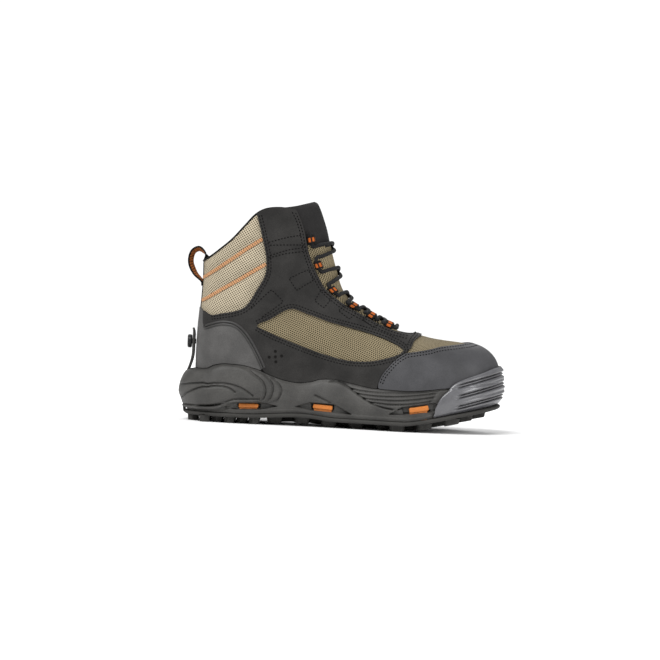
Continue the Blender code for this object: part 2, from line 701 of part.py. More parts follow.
def make_toe_cap(columns, material):
    cap = overlay("toe_cap", columns, OVERLAY_LIFT, TOE_CAP_WALL, material)
    outline = outline_part(TOE_CAP_BACK[1:], SEAM, -SEAM)
    outline += outline_part(TOE_CAP_TOP[1:], SEAM, -SEAM)
    outline += outline_part([OUTSIDE_FRONT], 0.0, 0.0)
    outline += rim_line(TOE_CAP_FOOT, 16)
    return cut(cap, prism("toe_cap_outline", outline), "INTERSECT")


def side_inset(level, shares):
    """Inset of the midsole's side, which gives way to the bumper at the toe and holds ribs behind it."""
    under_bumper = over_span(shares, BUMPER_TAKES_OVER)
    ribbed = over_span(shares, RIBS_BEGIN) * (1.0 - over_span(shares, RIBS_END))
    return SIDE_CUP * (level.side + (level.toe - level.side) * under_bumper) + level.rib * RIB_DEPTH * ribbed


def level_ring(level):
    """A ring of the midsole's side at one level."""
    def height(x):
        return base_height(x) + level.up * (rim_height(x) - base_height(x))

    return outline_ring(level.heel * HEEL_CUP, side_inset(level, SHARES), level.toe * TOE_CUP, height)


def make_midsole(material):
    rings = list(MIDSOLE_RINGS)
    rings.append(outline_ring(HEEL_CUP, SIDE_CUP, TOE_CUP, rim_height))
    rings.append(outline_ring(HEEL_CUP, SIDE_CUP, TOE_CUP, floor_height))
    return new_object("midsole", ring_loft(rings), material)


def side_frame(along, side):
    """Place and heading of a spot on the sole's side: origin on its outline, X along, Y inwards."""
    x = along * BOOT_LENGTH
    step = 0.001
    ends = []
    for place in (x - step, x + step):
        half = plan_half(place, 0.0, 0.0, 0.0)
        ends.append(Vector((place, plan_middle(place) + side * half, 0.0)))
    heading = (ends[1] - ends[0]).normalized()
    inwards = Vector((0.0, 0.0, 1.0)).cross(heading) * -side
    frame = Matrix((heading, inwards, (0.0, 0.0, 1.0))).transposed().to_4x4()
    frame.translation = (ends[0] + ends[1]) / 2
    return frame


def drawn_along(length, slice_points):
    """A slice of (depth, height) points, drawn out along the X axis of a side frame."""
    shape = bmesh.new()
    face = shape.faces.new([shape.verts.new((-length / 2, depth, z)) for depth, z in slice_points])
    drawn = bmesh.ops.extrude_face_region(shape, geom=[face])
    for vert in (v for v in drawn["geom"] if isinstance(v, bmesh.types.BMVert)):
        vert.co.x = length / 2
    return shape


def placed(shape, frame):
    """Move a shape into a side frame, facing out on the mirrored side too."""
    shape.transform(frame)
    shape.normal_update()
    bmesh.ops.recalc_face_normals(shape, faces=shape.faces)
    return shape


def make_clips(midsole, material):
    """Hard clips that stand up from the sole, and the slots in the midsole that show them."""
    slots = bmesh.new()
    for clip in CLIPS:
        middle = clip.up * BOOT_HEIGHT
        reach = (clip.along * BOOT_LENGTH - CLIP_LENGTH / 2, clip.along * BOOT_LENGTH + CLIP_LENGTH / 2)
        foot = max(base_height(x) for x in reach) + SEAT_GAP
        low = middle - clip.height / 2
        high = middle + clip.height / 2
        near = CLIP_DEPTH + CURVE_GAP
        far = near + CLIP_WALL
        under = foot - LUG_HEIGHT
        slot = ((-CLIP_REACH, high), (far + CURVE_GAP, high), (far + CURVE_GAP, under), (CLIP_DEPTH, under),
                (CLIP_DEPTH, low), (-CLIP_REACH, low))
        tab = ((near, high - CURVE_GAP), (far, high - CURVE_GAP), (far, foot), (near, foot))
        for side, word in ((LATERAL, "lateral"), (MEDIAL, "medial")):
            frame = side_frame(clip.along, side)
            hollow = placed(drawn_along(CLIP_LENGTH + 4 * CURVE_GAP, slot), frame)
            mesh = bpy.data.meshes.new("slot")
            hollow.to_mesh(mesh)
            hollow.free()
            slots.from_mesh(mesh)
            bpy.data.meshes.remove(mesh)
            new_object(f"sole_clip_{word}_{clip.name}", placed(drawn_along(CLIP_LENGTH, tab), frame), material)
    cut(midsole, new_object("clip_slots", slots, cutter=True), "DIFFERENCE")


def make_bumper(material):
    """The moulded rubber bumper round the toe, whose ribs show in its outline."""
    shape = bmesh.new()
    start = BUMPER_ROWS[0].along * BOOT_LENGTH / (BOOT_LENGTH - TOE_CUP)
    shares = np.array([start] + [share for share in SHARES if share > start])
    last = len(shares) - 1
    profiles = [bumper_profile(share, LATERAL) for share in shares]
    profiles += [bumper_profile(share, MEDIAL) for share in shares[last - 1::-1]]
    rows = [[shape.verts.new(point) for point in profile] for profile in profiles]
    for row, after in zip(rows, rows[1:]):
        for k in range(len(row)):
            m = (k + 1) % len(row)
            shape.faces.new((row[k], after[k], after[m], row[m]))
    shape.faces.new(rows[0])
    shape.faces.new(rows[-1][::-1])
    bmesh.ops.recalc_face_normals(shape, faces=shape.faces)
    bmesh.ops.triangulate(shape, faces=[f for f in shape.faces if len(f.verts) > 4])
    return new_object("toe_bumper", shape, material)


def bumper_profile(share, side):
    """A closed slice through the bumper: up its inner face, then down its ribbed outer face."""
    x = share * (BOOT_LENGTH - TOE_CUP)
    low = base_height(x) + SEAT_GAP
    top = max(bumper_top(x), low + BUMPER_FLOOR)
    heights = np.linspace(low, top, BUMPER_ROWS_INSIDE)
    outwards = outline_normal(share)
    inner = np.array([bumper_inside(share, z) for z in heights])
    taper = BUMPER_TIP + (1.0 - BUMPER_TIP) * over_span(share, BUMPER_THICKENS)
    outer = []
    for band in BUMPER_BANDS[::-1]:
        z = low + (top - low) * band.up
        spot = np.array([np.interp(z, heights, inner[:, k]) for k in range(2)])
        spot = spot + outwards * BUMPER_WALL * taper * band.out
        outer.append((spot[0], spot[1], z))
    points = [(p[0], p[1], z) for p, z in zip(inner, heights)] + outer
    return [(px, plan_middle(px) + side * py, pz) for px, py, pz in points]


def bumper_inside(share, z):
    """Where the bumper's inner face lies: outside the midsole, and outside the toe cap above it."""
    profile = np.array([[np.interp(share, SHARES, ring[:, k]) for k in range(3)] for ring in MIDSOLE_RINGS])
    gap = CURVE_GAP * (2.0 - over_span(share, BUMPER_THICKENS))
    profile[:, :2] += outline_normal(share) * gap
    over = max(z - profile[-1, 2], 0.0)
    inset = BUMPER_STAND - over * BUMPER_LEAN
    px = share * (BOOT_LENGTH - TOE_CUP + inset)
    half = plan_half(px, 0.0, SIDE_CUP - inset, TOE_CUP - inset) if share < 1.0 else 0.0
    profile[-1, :2] = (px, half)
    return np.array([np.interp(z, profile[:, 2], profile[:, k]) for k in range(2)])


def outline_normal(share):
    """Outward direction of the sole's outline at a share along it, as (along, across)."""
    if share >= 1.0:
        return np.array([1.0, 0.0])
    x = share * BOOT_LENGTH
    step = 0.0005
    slope = (plan_half(x + step, 0, 0, 0) - plan_half(x - step, 0, 0, 0)) / (2 * step)
    normal = np.array([-slope, 1.0])
    return normal / np.linalg.norm(normal)


def lug_rings(place):
    """The top and bottom outlines of one rubber lug, with lobes round it when it has them."""
    count = place.lobes * 2 if place.lobes else SMALL_LUG_SIDES
    top = base_height(place.x) - SOLE_PLATE + LUG_ROOT
    rings = []
    for flare, on_plate in ((1.0 + LUG_DRAFT, True), (1.0 - LUG_DRAFT, False)):
        ring = []
        for k in range(count):
            angle = 2 * math.pi * k / count
            reach = place.radius * flare
            if place.lobes:
                reach *= 1.0 + (LUG_LOBE if k % 2 else -LUG_LOBE)
            px = place.x + reach * math.cos(angle)
            ring.append((px, place.y + reach * math.sin(angle), top if on_plate else sole_rise(px)))
        rings.append(ring)
    return rings


def lug_places():
    """Centres of the lugs: big ones in staggered columns, small ones packed under the heel."""
    places = []
    for column, x in enumerate(np.arange(BIG_LUGS.start * BOOT_LENGTH, BIG_LUGS.end * BOOT_LENGTH,
                                         LUG_PITCH_ALONG / 2)):
        reach = plan_half(x, SOLE_INSET, SOLE_INSET, SOLE_INSET) - LUG_RADIUS
        for k in range(-2, 3):
            y = (2 * k + (column + 1) % 2) * LUG_PITCH_ACROSS
            if abs(y) < reach:
                places.append(LugPlace(x, plan_middle(x) + y, LUG_RADIUS, LUG_LOBES))
    for i in range(-2, 4):
        x = HEEL_SEAT + i * HEEL_LUG_PITCH * HEEL_LUG_SQUEEZE
        reach = plan_half(x, SOLE_INSET, SOLE_INSET, SOLE_INSET) - HEEL_LUG_RADIUS
        for k in range(-4, 5):
            y = (k + (0.5 if i % 2 else 0.0)) * HEEL_LUG_PITCH
            if abs(y) < reach:
                places.append(LugPlace(x, y, HEEL_LUG_RADIUS, 0))
    return places


def make_lugs():
    shape = bmesh.new()
    for place in lug_places():
        upper, lower = [[shape.verts.new(point) for point in ring] for ring in lug_rings(place)]
        count = len(upper)
        for k in range(count):
            m = (k + 1) % count
            shape.faces.new((upper[k], upper[m], lower[m], lower[k]))
        shape.faces.new(upper[::-1])
        shape.faces.new(lower)
    bmesh.ops.recalc_face_normals(shape, faces=shape.faces)
    return new_object("lugs", shape, cutter=True)


def ribbon(path, widths, wall):
    """A strap of the given widths along a side-view path, bent round the Y axis."""
    shape = bmesh.new()
    path = np.array(path)
    tangents = np.gradient(path, axis=0)
    tangents /= np.linalg.norm(tangents, axis=1)[:, None]
    normals = np.stack([-tangents[:, 1], tangents[:, 0]], axis=1)
    rows = []
    for point, normal, width in zip(path, normals, widths):
        corners = []
        for out, across in ((1, -1), (1, 1), (-1, 1), (-1, -1)):
            x, z = point + normal * out * wall / 2
            corners.append(shape.verts.new((x, across * width / 2, z)))
        rows.append(corners)
    for row, after in zip(rows, rows[1:]):
        for k in range(4):
            m = (k + 1) % 4
            shape.faces.new((row[k], row[m], after[m], after[k]))
    shape.faces.new(rows[0][::-1])
    shape.faces.new(rows[-1])
    bmesh.ops.recalc_face_normals(shape, faces=shape.faces)
    return shape


def strap_line():
    """The heel strap's middle line and widths, from inside the sole plate up over the cup to its tip."""
    base = base_height(0.0)
    rise = rim_height(0.0) - base
    levels = [level.up for level in MIDSOLE_LEVELS]
    stand = STRAP_WALL / 2 + 2 * SEAT_GAP
    seat = strap_seat()
    spots = [(HEEL_CUP, base - SOLE_PLATE / 2, 2.2)]
    for spot in STRAP_ROWS:
        inset = np.interp(spot.climb, levels, [level.heel for level in MIDSOLE_LEVELS]) * HEEL_CUP
        spots.append((inset - stand, base + spot.climb * rise, spot.width))
    head = STRAP_HEAD_WIDTH / STRAP_NECK_WIDTH
    tip = POST_HEIGHT + STRAP_TIP_RISE
    spots += [(seat, POST_HEIGHT - POST_HEAD_RADIUS * 1.5, head), (seat, POST_HEIGHT, head)]
    spots += [(seat, POST_HEIGHT + POST_HEAD_RADIUS, head), (seat - SEAT_GAP, tip - STRAP_WALL, head)]
    spots += [(seat - STRAP_WALL / 2, tip, head * STRAP_TIP_SHARE)]
    return [(x, z) for x, z, _ in spots], [width * STRAP_NECK_WIDTH for _, _, width in spots]


def counter_back():
    """Place of the heel counter's outer face at the post."""
    return back_place(POST_HEIGHT) - OVERLAY_LIFT - OVERLAY_WALL


def strap_seat():
    return counter_back() - 2 * CURVE_GAP - STRAP_WALL / 2


def make_strap():
    path, widths = strap_line()
    return new_object("heel_strap", ribbon(path, widths, STRAP_WALL), cutter=True)


def make_outsole(material):
    """Plate, lugs and heel strap, moulded in one."""
    rings = []
    for edge in PLATE_EDGES:
        insets = (SOLE_INSET * edge.heel, SOLE_INSET * edge.side, SOLE_INSET * edge.toe)
        drop = SEAT_GAP + edge.down * (SOLE_PLATE - SEAT_GAP)
        rings.append(outline_ring(*insets, lambda x, drop=drop: base_height(x) - drop))
    outsole = new_object("outsole", ring_loft(rings), material)
    cut(outsole, make_lugs(), "UNION")
    cut(outsole, make_strap(), "UNION")
    slot = bmesh.new()
    bmesh.ops.create_cube(slot, size=1.0)
    clear = 2 * POST_STEM_RADIUS + 4 * CURVE_GAP
    slot.transform(Matrix.Diagonal((STRAP_SLOT_DEPTH, clear, clear + POST_STEM_RADIUS, 1.0)))
    slot.transform(Matrix.Translation((strap_seat(), 0.0, POST_HEIGHT)))
    return cut(outsole, new_object("strap_slot", slot, cutter=True), "DIFFERENCE")


def make_post(material):
    """The button behind the heel that holds the strap: a stem with a wide head, turned about X."""
    back = counter_back() - SEAT_GAP
    neck = strap_seat() - STRAP_WALL / 2 - CURVE_GAP
    tip = neck - POST_HEAD_WALL
    profile = ((back, 0.0), (back, POST_STEM_RADIUS), (neck, POST_STEM_RADIUS), (neck, POST_HEAD_RADIUS),
               (tip + POST_HEAD_BEVEL, POST_HEAD_RADIUS), (tip, POST_HEAD_RADIUS - POST_HEAD_BEVEL), (tip, 0.0))
    shape = bmesh.new()
    verts = [shape.verts.new((x, 0.0, radius)) for x, radius in profile]
    edges = [shape.edges.new(pair) for pair in zip(verts, verts[1:])]
    bmesh.ops.spin(shape, geom=verts + edges, axis=(1, 0, 0), cent=(0, 0, 0), angle=2 * math.pi,
                   steps=POST_SIDES, use_duplicate=False)
    bmesh.ops.remove_doubles(shape, verts=shape.verts, dist=1e-6)
    bmesh.ops.recalc_face_normals(shape, faces=shape.faces)
    shape.transform(Matrix.Translation((0.0, 0.0, POST_HEIGHT)))
    return new_object("heel_post", shape, material)


def make_insole(material):
    inside = UPPER_WALL + 2 * SEAT_GAP

    def at(lift):
        return lambda x: floor_height(x) + lift

    sides = (UPPER_HEEL + inside, UPPER_SIDE + inside, UPPER_TOE + inside)
    rings = [outline_ring(*sides, at(SEAT_GAP)), outline_ring(*sides, at(INSOLE_THICKNESS))]
    return new_object("insole", ring_loft(rings), material)


def make_pull_loop(material):
    path = flowing_line(PULL_ROWS, 2)
    widths = [PULL_WIDTH] * len(path)
    return new_object("pull_loop", ribbon(path, widths, PULL_WALL), material)


def across_surface(edge, ridge, rows, columns):
    """Points over the instep: rows down the throat, columns from the outer edge to the inner one."""
    edge_points = along_arc(edge, np.linspace(0.0, 1.0, rows))
    ridge_points = along_arc(ridge, np.linspace(0.0, 1.0, rows))
    spread = 1.0 - (1.0 - np.linspace(0.0, 1.0, 61)) ** 2
    grid = np.zeros((rows, columns, 3))
    half_count = columns // 2
    for i in range(rows):
        line = edge_points[i] + spread[:, None] * (ridge_points[i] - edge_points[i])
        solid = lifted(line)
        solid[-1, 1] = 0.0
        solid = along_arc(solid, np.linspace(0.0, 1.0, half_count + 1))
        for k, (x, half, z) in enumerate(solid):
            grid[i, k] = (x, plan_middle(x) - half, z)
            grid[i, columns - 1 - k] = (x, plan_middle(x) + half, z)
    return grid


def front_stretch(start, end):
    """The part of the front line between two places along the boot."""
    x = FRONT_LINE[:, 0]
    inner = FRONT_LINE[(x > start) & (x < end)]
    return np.vstack([[start, ridge_height(start)], inner, [end, ridge_height(end)]])


def make_tongue(material):
    """A padded tongue that follows the instep just under the eyestays."""
    edge = flowing_line(TONGUE_EDGE_ROWS)
    ridge = front_stretch(TONGUE_SPAN.start * BOOT_LENGTH, TONGUE_SPAN.end * BOOT_LENGTH)
    grid = across_surface(edge, ridge, TONGUE_ROWS, TONGUE_COLUMNS)
    sheet = bmesh.new()
    verts = [[sheet.verts.new(point) for point in row] for row in grid]
    for row, after in zip(verts, verts[1:]):
        for k in range(len(row) - 1):
            sheet.faces.new((row[k], after[k], after[k + 1], row[k + 1]))
    sheet.normal_update()
    if sum(face.normal.x for face in sheet.faces) < 0:
        bmesh.ops.reverse_faces(sheet, faces=sheet.faces)
        sheet.normal_update()
    edge_drop = UPPER_WALL + TONGUE_CLEAR
    drops = {}
    for i, row in enumerate(verts):
        under_vamp = over_span(i / (len(verts) - 1), UNDER_VAMP)
        for k, vert in enumerate(row):
            off_middle = abs(k / (len(row) - 1) - 0.5) * 2
            share = max(over_span(off_middle, UNDER_EYESTAY), under_vamp)
            drops[vert] = TONGUE_DROP + (edge_drop - TONGUE_DROP) * share
    for vert in sheet.verts:
        vert.co -= vert.normal * drops[vert]
    return thicken(new_object("tongue", sheet, material), TONGUE_WALL, outwards=False)


class Throat:
    """The open front between the eyestays, measured by shares down it and across it."""

    def __init__(self):
        self.edge = flowing_line(THROAT_ROWS, 24)
        self.edge[-1, 1] = ridge_height(self.edge[-1, 0])
        self.lengths = arc_lengths(self.edge)
        ridge = front_stretch(THROAT_TOP * BOOT_LENGTH, THROAT_END)
        self.grid = across_surface(self.edge, ridge, THROAT_GRID_ROWS, THROAT_GRID_COLUMNS)

    def down(self, along):
        """Share down the throat's edge at a place along the boot."""
        return np.interp(along * BOOT_LENGTH, self.edge[:, 0], self.lengths) / self.lengths[-1]

    def point(self, down, across):
        """A point on the surface: down from 0 to 1, across from -1 (outer) to 1 (inner)."""
        i = np.clip(down, 0.0, 0.9999) * (self.grid.shape[0] - 1)
        k = np.clip((across + 1) / 2, 0.0, 0.9999) * (self.grid.shape[1] - 1)
        i0, k0 = int(i), int(k)
        fi, fk = i - i0, k - k0
        top = self.grid[i0, k0] * (1 - fk) + self.grid[i0, k0 + 1] * fk
        low = self.grid[i0 + 1, k0] * (1 - fk) + self.grid[i0 + 1, k0 + 1] * fk
        return Vector(top * (1 - fi) + low * fi)

    def frame(self, down, across):
        """Directions at a point: down the throat, towards the inner side, and outwards."""
        step = 0.02
        low = min(max(down, step), 1.0 - step)
        side = min(max(across, -1 + step), 1 - step)
        run = (self.point(low + step, side) - self.point(low - step, side)).normalized()
        over = (self.point(low, side + step) - self.point(low, side - step)).normalized()
        out = over.cross(run).normalized()
        if out.x < 0:
            out = -out
        return run, over, out


def loop_frame(throat, row, side):
    """Origin of a lace loop on the throat's edge, and its directions: down the edge, inwards and out."""
    down = throat.down(LOOP_ALONG[row])
    run, over, _ = throat.frame(down, side * LOOP_ACROSS)
    inwards = over * -side
    out = run.cross(inwards).normalized()
    if out.z + out.x < 0:
        out = -out
    return throat.point(down, side), run, inwards, out


def make_lace_loops(throat, material):
    """Webbing loops that reach from the eyestays into the throat, six on each side."""
    bend = LOOP_RISE / 2
    bends = []
    for middle, start in ((bend, 90), (LOOP_REACH - bend, -90)):
        for k in range(LOOP_BEND_STEPS + 1):
            bends.append((middle, math.radians(start + 180 * k / LOOP_BEND_STEPS)))
    count = len(bends)
    for row in range(len(LOOP_ALONG)):
        for side, word in ((LATERAL, "lateral"), (MEDIAL, "medial")):
            origin, run, inwards, out = loop_frame(throat, row, side)
            rings = []
            for radius in (bend, bend - LOOP_WALL):
                ring = []
                for middle, angle in bends:
                    reach = LOOP_START + middle + radius * math.cos(angle)
                    rise = LOOP_LIFT + radius * math.sin(angle)
                    ring.append(origin + inwards * reach + out * rise)
                rings.append(ring)
            shape = bmesh.new()
            ends = []
            for shift in (-LOOP_WIDTH / 2, LOOP_WIDTH / 2):
                ends.append([[shape.verts.new(point + run * shift) for point in ring] for ring in rings])
            (outer_a, inner_a), (outer_b, inner_b) = ends
            for k in range(count):
                m = (k + 1) % count
                shape.faces.new((outer_a[k], outer_a[m], outer_b[m], outer_b[k]))
                shape.faces.new((inner_a[k], inner_b[k], inner_b[m], inner_a[m]))
                shape.faces.new((outer_a[k], inner_a[k], inner_a[m], outer_a[m]))
                shape.faces.new((outer_b[k], outer_b[m], inner_b[m], inner_b[k]))
            bmesh.ops.recalc_face_normals(shape, faces=shape.faces)
            new_object(f"lace_loop_{word}_{row + 1}", shape, material)


def lace_path(throat, first_side):
    """One half of the lace: from the bottom bar up through the loops, crossing the tongue between them."""
    down = throat.down(LOOP_ALONG[-1]) + BAR_DROP
    points = []
    for across in BAR_SHARES:
        _, _, out = throat.frame(down, across * first_side)
        points.append(throat.point(down, across * first_side) + out * BAR_LIFT)
    side = first_side
    for row in range(len(LOOP_ALONG) - 1, -1, -1):
        points += loop_points(throat, row, side)
        if row:
            points += crossing_points(throat, row, side)
        side = -side
    return points


def loop_points(throat, row, side):
    """The lace's straight run through one loop, from below it to above it."""
    origin, run, inwards, out = loop_frame(throat, row, side)
    middle = origin + inwards * LOOP_MIDDLE + out * LOOP_LIFT
    half = LOOP_WIDTH / 2 + LACE_RADIUS * LACE_STRAIGHT
    return [middle + run * half, middle - run * half]


def crossing_points(throat, row, side):
    """The lace's way over the tongue from one side to the other, up to the next row of loops."""
    start = throat.down(LOOP_ALONG[row])
    end = throat.down(LOOP_ALONG[row - 1])
    points = []
    for share in CROSSING_SHARES:
        across = side * (1 - 2 * share)
        down = start + (end - start) * (CROSSING_CLIMB.start + share * (CROSSING_CLIMB.end - CROSSING_CLIMB.start))
        _, _, out = throat.frame(down, across)
        lift = LACE_AT_RIDGE + (LOOP_LIFT - LACE_AT_RIDGE) * abs(1 - 2 * share) ** 1.5
        points.append(throat.point(down, across) + out * lift)
    return points


def tube(name, points, radius, resolution):
    """A round cord through points, as a closed mesh."""
    curve = bpy.data.curves.new(name, "CURVE")
    curve.dimensions = "3D"
    curve.bevel_depth = radius
    curve.bevel_resolution = resolution
    curve.use_fill_caps = True
    line = curve.splines.new("POLY")
    line.points.add(len(points) - 1)
    for spot, point in zip(line.points, points):
        spot.co = (*point, 1.0)
    item = bpy.data.objects.new(name, curve)
    bpy.context.scene.collection.objects.link(item)
    mesh = bpy.data.meshes.new_from_object(item.evaluated_get(bpy.context.evaluated_depsgraph_get()))
    shape = bmesh.new()
    shape.from_mesh(mesh)
    bmesh.ops.remove_doubles(shape, verts=shape.verts, dist=1e-6)
    bmesh.ops.recalc_face_normals(shape, faces=shape.faces)
    bpy.data.objects.remove(item)
    return shape


def make_laces(throat, material):
    """The lace's crossings over the tongue, joined where they cross, with a bar at the bottom."""
    laces = new_object("lace_crossings", tube("lace_up", lace_path(throat, LATERAL), LACE_RADIUS, 1), material)
    back = new_object("lace_back", tube("lace_back", lace_path(throat, MEDIAL), LACE_RADIUS, 1), cutter=True)
    return cut(laces, back, "UNION")


def clear_scene():
    for item in list(bpy.data.objects):
        bpy.data.objects.remove(item)


def new_collection(name):
    collection = bpy.data.collections.new(name)
    bpy.context.scene.collection.children.link(collection)
    return collection


clear_scene()
PARTS = new_collection("wading_boot")
CUTTERS = new_collection("cutters")
ROOT = bpy.data.objects.new("boot_root", None)
ROOT.location.x = -HEEL_SEAT
PARTS.objects.link(ROOT)

MESH_CLOTH = new_material("mesh_cloth", (0.40, 0.35, 0.26), 0.9)
BLACK_SYNTHETIC = new_material("black_synthetic", (0.045, 0.043, 0.040), 0.6)
GREY_SYNTHETIC = new_material("grey_synthetic", (0.10, 0.10, 0.10), 0.6)
MIDSOLE_RUBBER = new_material("midsole_rubber", (0.13, 0.13, 0.125), 0.7)
BUMPER_RUBBER = new_material("bumper_rubber", (0.16, 0.16, 0.165), 0.4)
SOLE_RUBBER = new_material("sole_rubber", (0.10, 0.095, 0.09), 0.8)
ORANGE_PLASTIC = new_material("orange_plastic", (0.75, 0.30, 0.08), 0.5)
POST_PLASTIC = new_material("post_plastic", (0.02, 0.02, 0.02), 0.4)
TONGUE_CLOTH = new_material("tongue_cloth", (0.05, 0.045, 0.04), 0.9)
WEBBING = new_material("webbing", (0.45, 0.18, 0.05), 0.8)
LACE_CORD = new_material("lace_cord", (0.02, 0.02, 0.02), 0.8)
INSOLE_FOAM = new_material("insole_foam", (0.03, 0.03, 0.03), 0.9)

COLUMNS = upper_columns()
MIDSOLE_RINGS = [level_ring(level) for level in MIDSOLE_LEVELS]
THROAT = Throat()
make_upper(COLUMNS, MESH_CLOTH)
make_quarter(COLUMNS, BLACK_SYNTHETIC)
make_counter(COLUMNS, GREY_SYNTHETIC)
make_toe_cap(COLUMNS, GREY_SYNTHETIC)
MIDSOLE = make_midsole(MIDSOLE_RUBBER)
make_clips(MIDSOLE, ORANGE_PLASTIC)
make_bumper(BUMPER_RUBBER)
make_outsole(SOLE_RUBBER)
make_post(POST_PLASTIC)
make_insole(INSOLE_FOAM)
make_tongue(TONGUE_CLOTH)
make_pull_loop(WEBBING)
make_lace_loops(THROAT, WEBBING)
make_laces(THROAT, LACE_CORD)
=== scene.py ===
# %% [markdown]
# # A wading boot
#
# This is a boot for walking in rivers. Its upper is mesh cloth with black and grey synthetic sewn over it,
# a thick moulded midsole wraps the foot, and a lugged rubber sole clips on underneath.
# The solids that carry its size and weight are already made. This lesson dresses them: each cell makes one
# piece with the fine shape and finish of the real one, and lets it stand for the plain solid.

# %% Load the solids and measure them
import math
from collections import namedtuple

import bmesh
import bpy
import numpy as np
from mathutils import Matrix, Vector


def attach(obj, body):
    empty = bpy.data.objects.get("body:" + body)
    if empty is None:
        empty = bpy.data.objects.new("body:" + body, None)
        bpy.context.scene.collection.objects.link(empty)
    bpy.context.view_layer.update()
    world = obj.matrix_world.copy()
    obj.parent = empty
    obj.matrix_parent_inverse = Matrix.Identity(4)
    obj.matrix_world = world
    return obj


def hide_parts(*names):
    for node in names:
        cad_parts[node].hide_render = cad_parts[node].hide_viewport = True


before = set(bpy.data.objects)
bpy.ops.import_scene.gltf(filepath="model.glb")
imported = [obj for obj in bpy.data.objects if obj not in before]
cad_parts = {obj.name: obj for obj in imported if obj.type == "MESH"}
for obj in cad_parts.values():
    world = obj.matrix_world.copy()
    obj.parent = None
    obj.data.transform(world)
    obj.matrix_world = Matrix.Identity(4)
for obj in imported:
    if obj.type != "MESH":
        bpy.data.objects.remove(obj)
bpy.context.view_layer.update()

# %% [markdown]
# ## Light, floor and camera
#
# The boot is nearly black, so it needs soft light, but light from everywhere would flatten it.
# A broad sun from the upper left in front gives the main light. A panel fills the toe, and another from
# behind draws a pale line along the top edges. The floor is one pale plane. The sky looks white to the
# camera, while it lights the boot only half as much, so that the pressed lines keep their shadows.
# Camera: a long lens a few metres away, at the height of the boot, keeps the side view flat and true.
# The picture is rolled by 3 degrees, because the boot leans forward in it.

# %% Floor, light and camera
BOOT_MIDDLE = Vector((0.1072, 0.0, 0.096))
VIEW_WIDTH = 0.66
CAMERA_DISTANCE = 3.2
CAMERA_ELEVATION = math.radians(1.5)
CAMERA_ROLL = math.radians(2.95)
SENSOR = 36.0
SKY_SEEN = 1.08
SKY_GIVEN = 0.42
FLOOR_REACH = 6.0


def in_scene(name, data):
    """An object in the scene for a mesh, a light or a camera."""
    item = bpy.data.objects.new(name, data)
    bpy.context.scene.collection.objects.link(item)
    return item


def aimed_light(name, kind, place, power):
    """A light that shines from a place towards the boot."""
    light = bpy.data.lights.new(name, kind)
    light.energy = power
    item = in_scene(name, light)
    item.location = place
    item.rotation_euler = (BOOT_MIDDLE - Vector(place)).to_track_quat("-Z", "Y").to_euler()
    return light


def make_sky(seen, given):
    """A white sky with one strength for the camera and another for the light it gives."""
    world = bpy.data.worlds.new("soft_sky")
    world.use_nodes = True
    tree = world.node_tree
    mix = tree.nodes.new("ShaderNodeMixShader")
    path = tree.nodes.new("ShaderNodeLightPath")
    tree.links.new(path.outputs["Is Camera Ray"], mix.inputs[0])
    for strength, socket in ((given, mix.inputs[1]), (seen, mix.inputs[2])):
        sky = tree.nodes.new("ShaderNodeBackground")
        sky.inputs["Color"].default_value = (1.0, 1.0, 1.0, 1.0)
        sky.inputs["Strength"].default_value = strength
        tree.links.new(sky.outputs[0], socket)
    tree.links.new(mix.outputs[0], tree.nodes["World Output"].inputs["Surface"])
    bpy.context.scene.world = world


aimed_light("key_light", "SUN", (-1.0, -1.6, 2.3), 3.2).angle = math.radians(40.0)
aimed_light("fill_light", "AREA", (1.5, -0.9, 0.8), 11.0).size = 0.8
aimed_light("rim_light", "AREA", (0.2, 1.2, 1.4), 9.0).size = 1.2
make_sky(SKY_SEEN, SKY_GIVEN)
bpy.context.scene.view_settings.view_transform = "Standard"

floor_mesh = bpy.data.meshes.new("floor")
floor_corners = [(x * FLOOR_REACH, y * FLOOR_REACH, 0.0) for x, y in ((-1, -1), (1, -1), (1, 1), (-1, 1))]
floor_mesh.from_pydata(floor_corners, [], [(0, 1, 2, 3)])
floor_paint = bpy.data.materials.new("floor")
floor_paint.use_nodes = True
floor_shader = floor_paint.node_tree.nodes["Principled BSDF"]
floor_shader.inputs["Base Color"].default_value = (0.95, 0.95, 0.95, 1.0)
floor_shader.inputs["Roughness"].default_value = 0.75
floor_mesh.materials.append(floor_paint)
in_scene("floor", floor_mesh)

camera_data = bpy.data.cameras.new("camera")
camera_data.sensor_width = SENSOR
camera_data.lens = SENSOR * CAMERA_DISTANCE / VIEW_WIDTH
camera = in_scene("camera", camera_data)
bpy.context.scene.camera = camera
away = Vector((0.0, -math.cos(CAMERA_ELEVATION), math.sin(CAMERA_ELEVATION)))
camera.location = BOOT_MIDDLE + away * CAMERA_DISTANCE
turn = (-away).to_track_quat("-Z", "Y").to_matrix()
camera.rotation_euler = (turn @ Matrix.Rotation(CAMERA_ROLL, 3, "Z")).to_euler()
print("lens:", round(camera_data.lens), "mm")

# %% [markdown]
# ## Smooth curves from a few numbers
#
# A boot is all curves, and a few measured spots on each are enough if the curve between them is smooth.
# Two kinds are used. One gives a value for each place along the boot and never overshoots between spots,
# so a flat stretch stays flat. The other is a flowing line through spots seen from the side, which may
# double back. Spots are shares of the boot's length and height, so the shape keeps its meaning in any size.

# %% Sizes and curves
BOOT_LENGTH = 0.3215
BOOT_HEIGHT = 0.223
BALL_WIDTH = 0.116
HEEL_SEAT = 0.0365
LATERAL = -1
MEDIAL = 1

Spot = namedtuple("Spot", "along up")
Span = namedtuple("Span", "start end")


def smoothstep(value):
    share = np.clip(value, 0.0, 1.0)
    return share * share * (3.0 - 2.0 * share)


def over_span(value, span):
    """Rise smoothly from 0 at the span's start to 1 at its end."""
    return smoothstep((value - span.start) / (span.end - span.start))


